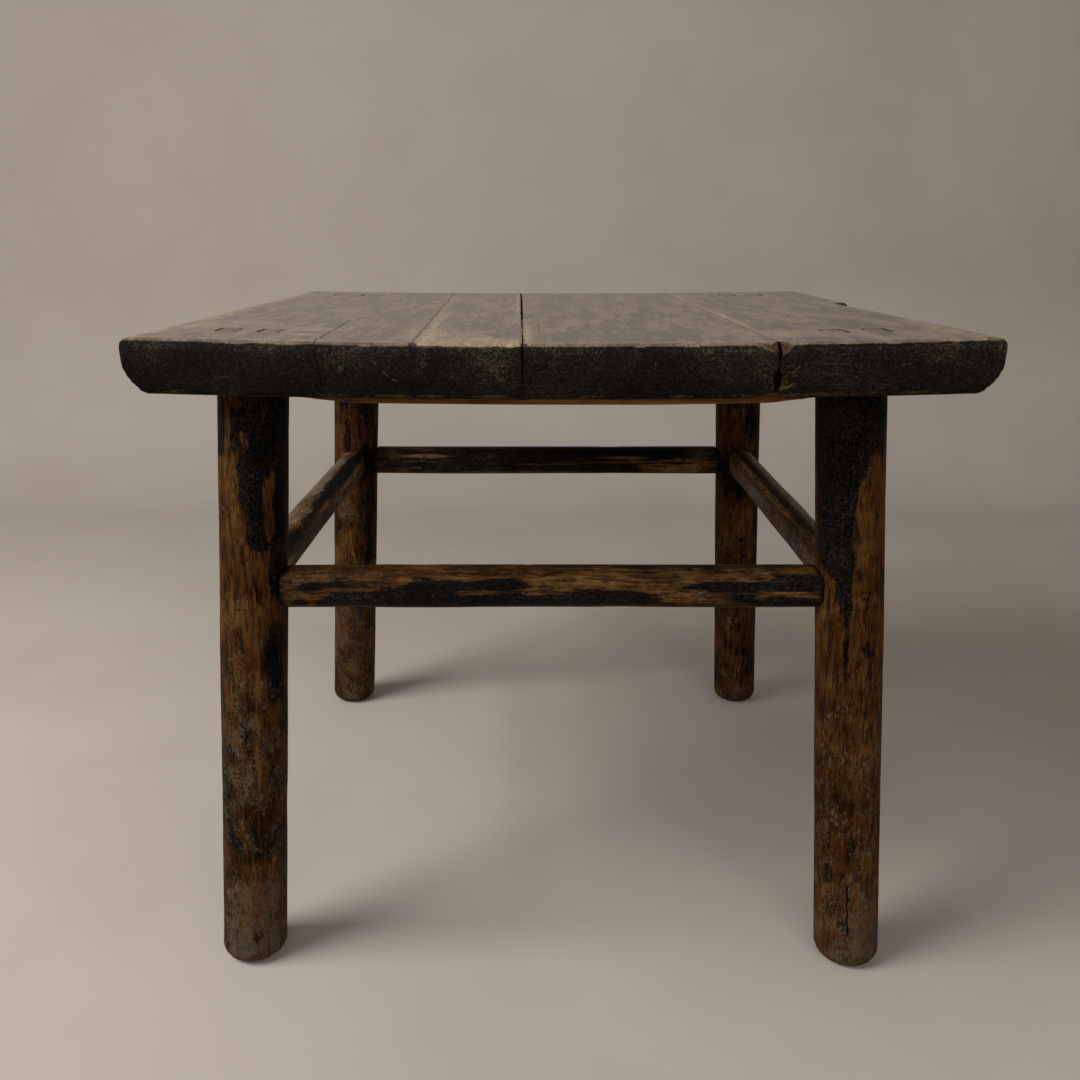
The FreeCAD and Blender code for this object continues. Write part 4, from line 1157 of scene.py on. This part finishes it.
def stretcher(node, axis, seed, material):
    """One stretcher; the two at the sides run through the legs and show their ends there."""
    piece = Piece(node, BAR_VOXEL)
    start = piece.points.copy()
    side = node.split("_")[0]
    ends = [name for name in LEG_NAMES if axis == Y_AXIS and name.endswith(side)]
    middle = (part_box(node)[0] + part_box(node)[1]) / 2
    body = np.ones(len(start))
    for name in ends:
        body *= 1 - blend_step(0, 8 * MM, LEGS[name].offset(start)[:, 1] * LEGS[name].outward)
    piece.even_out(5, body)
    points = piece.points.copy()
    shaped = 0.45 * MM * noise(points, 30, seed, grain_scale(axis, 0.3))
    grooves = 0.2 * MM * noise(points, 200, seed + 1, grain_scale(axis))
    knocks = dents(points, seed + 2, 60, (1.6 * MM, 5 * MM), (0.2 * MM, 0.8 * MM))
    gouges = 0.7 * MM * np.clip(noise(points, 170, seed + 5, grain_scale(axis, 0.12)) - 0.12, 0, 1)
    piece.sink((shaped + grooves + knocks + gouges) * body)

    blot = rough_noise(points, 34, seed + 4, grain_scale(axis, 0.25))
    patch = rough_noise(points, 64, seed + 8, grain_scale(axis, 0.45))
    looks = {"age": 0.45 + 0.25 * blot, "wear": -0.03, "tan": ABSENT, "dust": -0.08}
    if ends:
        inward = -np.sign(middle.x)
        along = start[:, 1] / MM
        girth = np.degrees(np.arctan2(inward * (start[:, 0] - middle.x), start[:, 2] - RAIL_LEVEL))
        lacquer = painted(girth, along, SIDE_LACQUER[side]) + 0.6 * patch
        # Pale dust, and painted light on the right stretcher's upper facet.
        pale = painted(girth, along, SIDE_PALE_DUST_AND_LIGHT[side]) + 0.3 * patch
        tone = 0.05 * blot + (0.06 + painted(girth, along, SIDE_TONE[side]))
        grey = -0.05
    else:
        along = start[:, 0] / MM
        girth = np.degrees(np.arctan2(middle.y - start[:, 1], start[:, 2] - RAIL_LEVEL))
        facing = blend_step(-40, -20, girth) * (1 - blend_step(150, 170, girth))
        # Painted shade where a stretcher meets a leg: darker tone and more lacquer within a few millimetres
        # of the leg's face.
        rooms = [np.linalg.norm(line.offset(start), axis=1) - line.radius for line in LEGS.values()]
        shade_by_leg = 1 - blend_step(0.5 * MM, 5 * MM, np.min(rooms, axis=0))
        drawn = painted(along, girth, RAIL_LACQUER[node]) + 0.12 * patch
        lacquer = facing * drawn + (1 - facing) * (0.30 + 0.5 * blot) + 0.35 * shade_by_leg
        pale = ABSENT
        tone = 0.05 * blot + facing * painted(along, girth, RAIL_TONE[node]) - 0.4 * shade_by_leg
        grey = -0.05 + facing * painted(along, girth, RAIL_GREY[node])
    crack, crack_power = ring_marks(along, girth, KNOTS.get(node, []))
    looks.update(lacquer=lacquer, tone=tone, grey=grey, pale=pale, crack=crack, crack_power=crack_power)
    for name in ends:
        end_flush(piece, name, looks)
    piece.mark(**looks)
    reach = abs(start[:, 1]).max() - 7 * MM if ends else HALF_DEPTH
    piece.finish("stretchers", [material, leg_material],
                 lambda centres, facing: np.abs(centres[:, 1]) > reach)


def batten(node, seed):
    """One batten under the top, sagged with it."""
    piece = Piece(node, BOARD_VOXEL)
    piece.even_out(4)
    points = piece.points.copy()
    shaped = 0.3 * MM * (1 + noise(points, 40, seed, (0.2, 1, 1)))
    grooves = 0.2 * MM * (1 + noise(points, 200, seed + 1, (0.1, 1, 1)))
    piece.sink(shaped + grooves)
    piece.points[:, 2] -= sag(points)
    piece.finish("battens", [batten_material])


def small_wood(node):
    """A pin or a wedge; wedges end in the surface that their tenons end in."""
    piece = Piece(node, SMALL_VOXEL)
    piece.smooth(1, 0.3)
    points = piece.points.copy()
    piece.sink(0.05 * MM * (1 + noise(points, 300, 7)))
    material, looks = pin_material, {}
    if "leg" in node or "joint" in node:
        piece.points[:, 2] -= sag(points)
    if "leg" in node:
        material, looks = top_material, tenon_looks(points)
    elif "stretcher" in node:
        material = leg_material
        side, _, end, _ = node.split("_")
        end_flush(piece, f"{end}_{side}", looks)
    piece.mark(**looks)
    piece.finish("pins_and_wedges", [material])


for name, seed in seeded(("left_board", "narrow_board", "middle_board", "right_board"), PLANK_SEED):
    plank(name, seed)
for name, seed in LEG_SEEDS.items():
    leg(name, seed)
for name, seed in seeded(("front_stretcher", "back_stretcher"), END_RAIL_SEED):
    stretcher(name, X_AXIS, seed, end_rail_material)
for name, seed in seeded(("left_stretcher", "right_stretcher"), SIDE_RAIL_SEED):
    stretcher(name, Y_AXIS, seed, side_rail_material)
for name, seed in seeded(("front_batten", "back_batten"), BATTEN_SEED):
    batten(name, seed)
for name in frame["nodes"]:
    if name.endswith(("_pins", "_wedge")):
        small_wood(name)


# The stage, the light and the camera

FLOOR_TONES = [(0.35, (0.40, 0.355, 0.315)), (0.65, (0.43, 0.385, 0.34))]
AIR_COLOUR = (0.275, 0.257, 0.238, 1)
BEND_STEPS = 16


def backdrop():
    """A pale floor that curves up into a wall behind the table."""
    half_width, front, wall_y, bend, wall_height = 6.0, -6.0, 1.7, 0.5, 4.0
    profile = [(front, 0.0), (wall_y - bend, 0.0)]
    for step in range(1, BEND_STEPS + 1):
        turn = math.radians(90 * step / BEND_STEPS)
        profile.append((wall_y - bend + bend * math.sin(turn), bend - bend * math.cos(turn)))
    profile.append((wall_y, wall_height))
    vertices, faces = [], []
    for y, z in profile:
        vertices += [(-half_width, y, z), (half_width, y, z)]
    for row in range(len(profile) - 1):
        faces.append((2 * row, 2 * row + 1, 2 * row + 3, 2 * row + 2))
    mesh = bpy.data.meshes.new("studio_floor")
    mesh.from_pydata(vertices, [], faces)
    mesh.polygons.foreach_set("use_smooth", [True] * len(mesh.polygons))
    shader = Shader("studio_paper")
    colour = shader.ramp(shader.noise(3.0, 3.0), FLOOR_TONES)
    mesh.materials.append(shader.finish(colour, 0.75, shader.noise(900.0, 3.0), 0.02 * MM, 0.3))
    floor = bpy.data.objects.new("studio_floor", mesh)
    bpy.context.scene.collection.objects.link(floor)


def softbox(name, place, target, size, power):
    """A square light that faces its target."""
    light = bpy.data.lights.new(name, "AREA")
    light.shape = "SQUARE"
    light.size = size
    light.energy = power
    lamp = bpy.data.objects.new(name, light)
    lamp.location = place
    lamp.rotation_euler = (Vector(target) - Vector(place)).to_track_quat("-Z", "Y").to_euler()
    bpy.context.scene.collection.objects.link(lamp)


backdrop()
softbox("key_softbox", place=(-1.9, -0.9, 1.9), target=(-0.3, -0.6, 0.0), size=1.4, power=74)
softbox("front_fill", place=(0.6, -2.6, 1.6), target=(0.0, 0.0, 0.3), size=2.0, power=22)

world = bpy.data.worlds.new("studio_air")
world.use_nodes = True
air = world.node_tree.nodes["Background"]
air.inputs["Color"].default_value = AIR_COLOUR
air.inputs["Strength"].default_value = 1.0
bpy.context.scene.world = world
bpy.context.scene.view_settings.view_transform = "Standard"

camera_data = bpy.data.cameras.new("photo_camera")
camera_data.lens = CAMERA_LENS
camera_data.sensor_width = CAMERA_SENSOR
camera = bpy.data.objects.new("photo_camera", camera_data)
camera.location = CAMERA_PLACE
camera.rotation_euler = (CAMERA_PITCH, 0, 0)
bpy.context.scene.collection.objects.link(camera)
bpy.context.scene.camera = camera

bpy.context.view_layer.update()
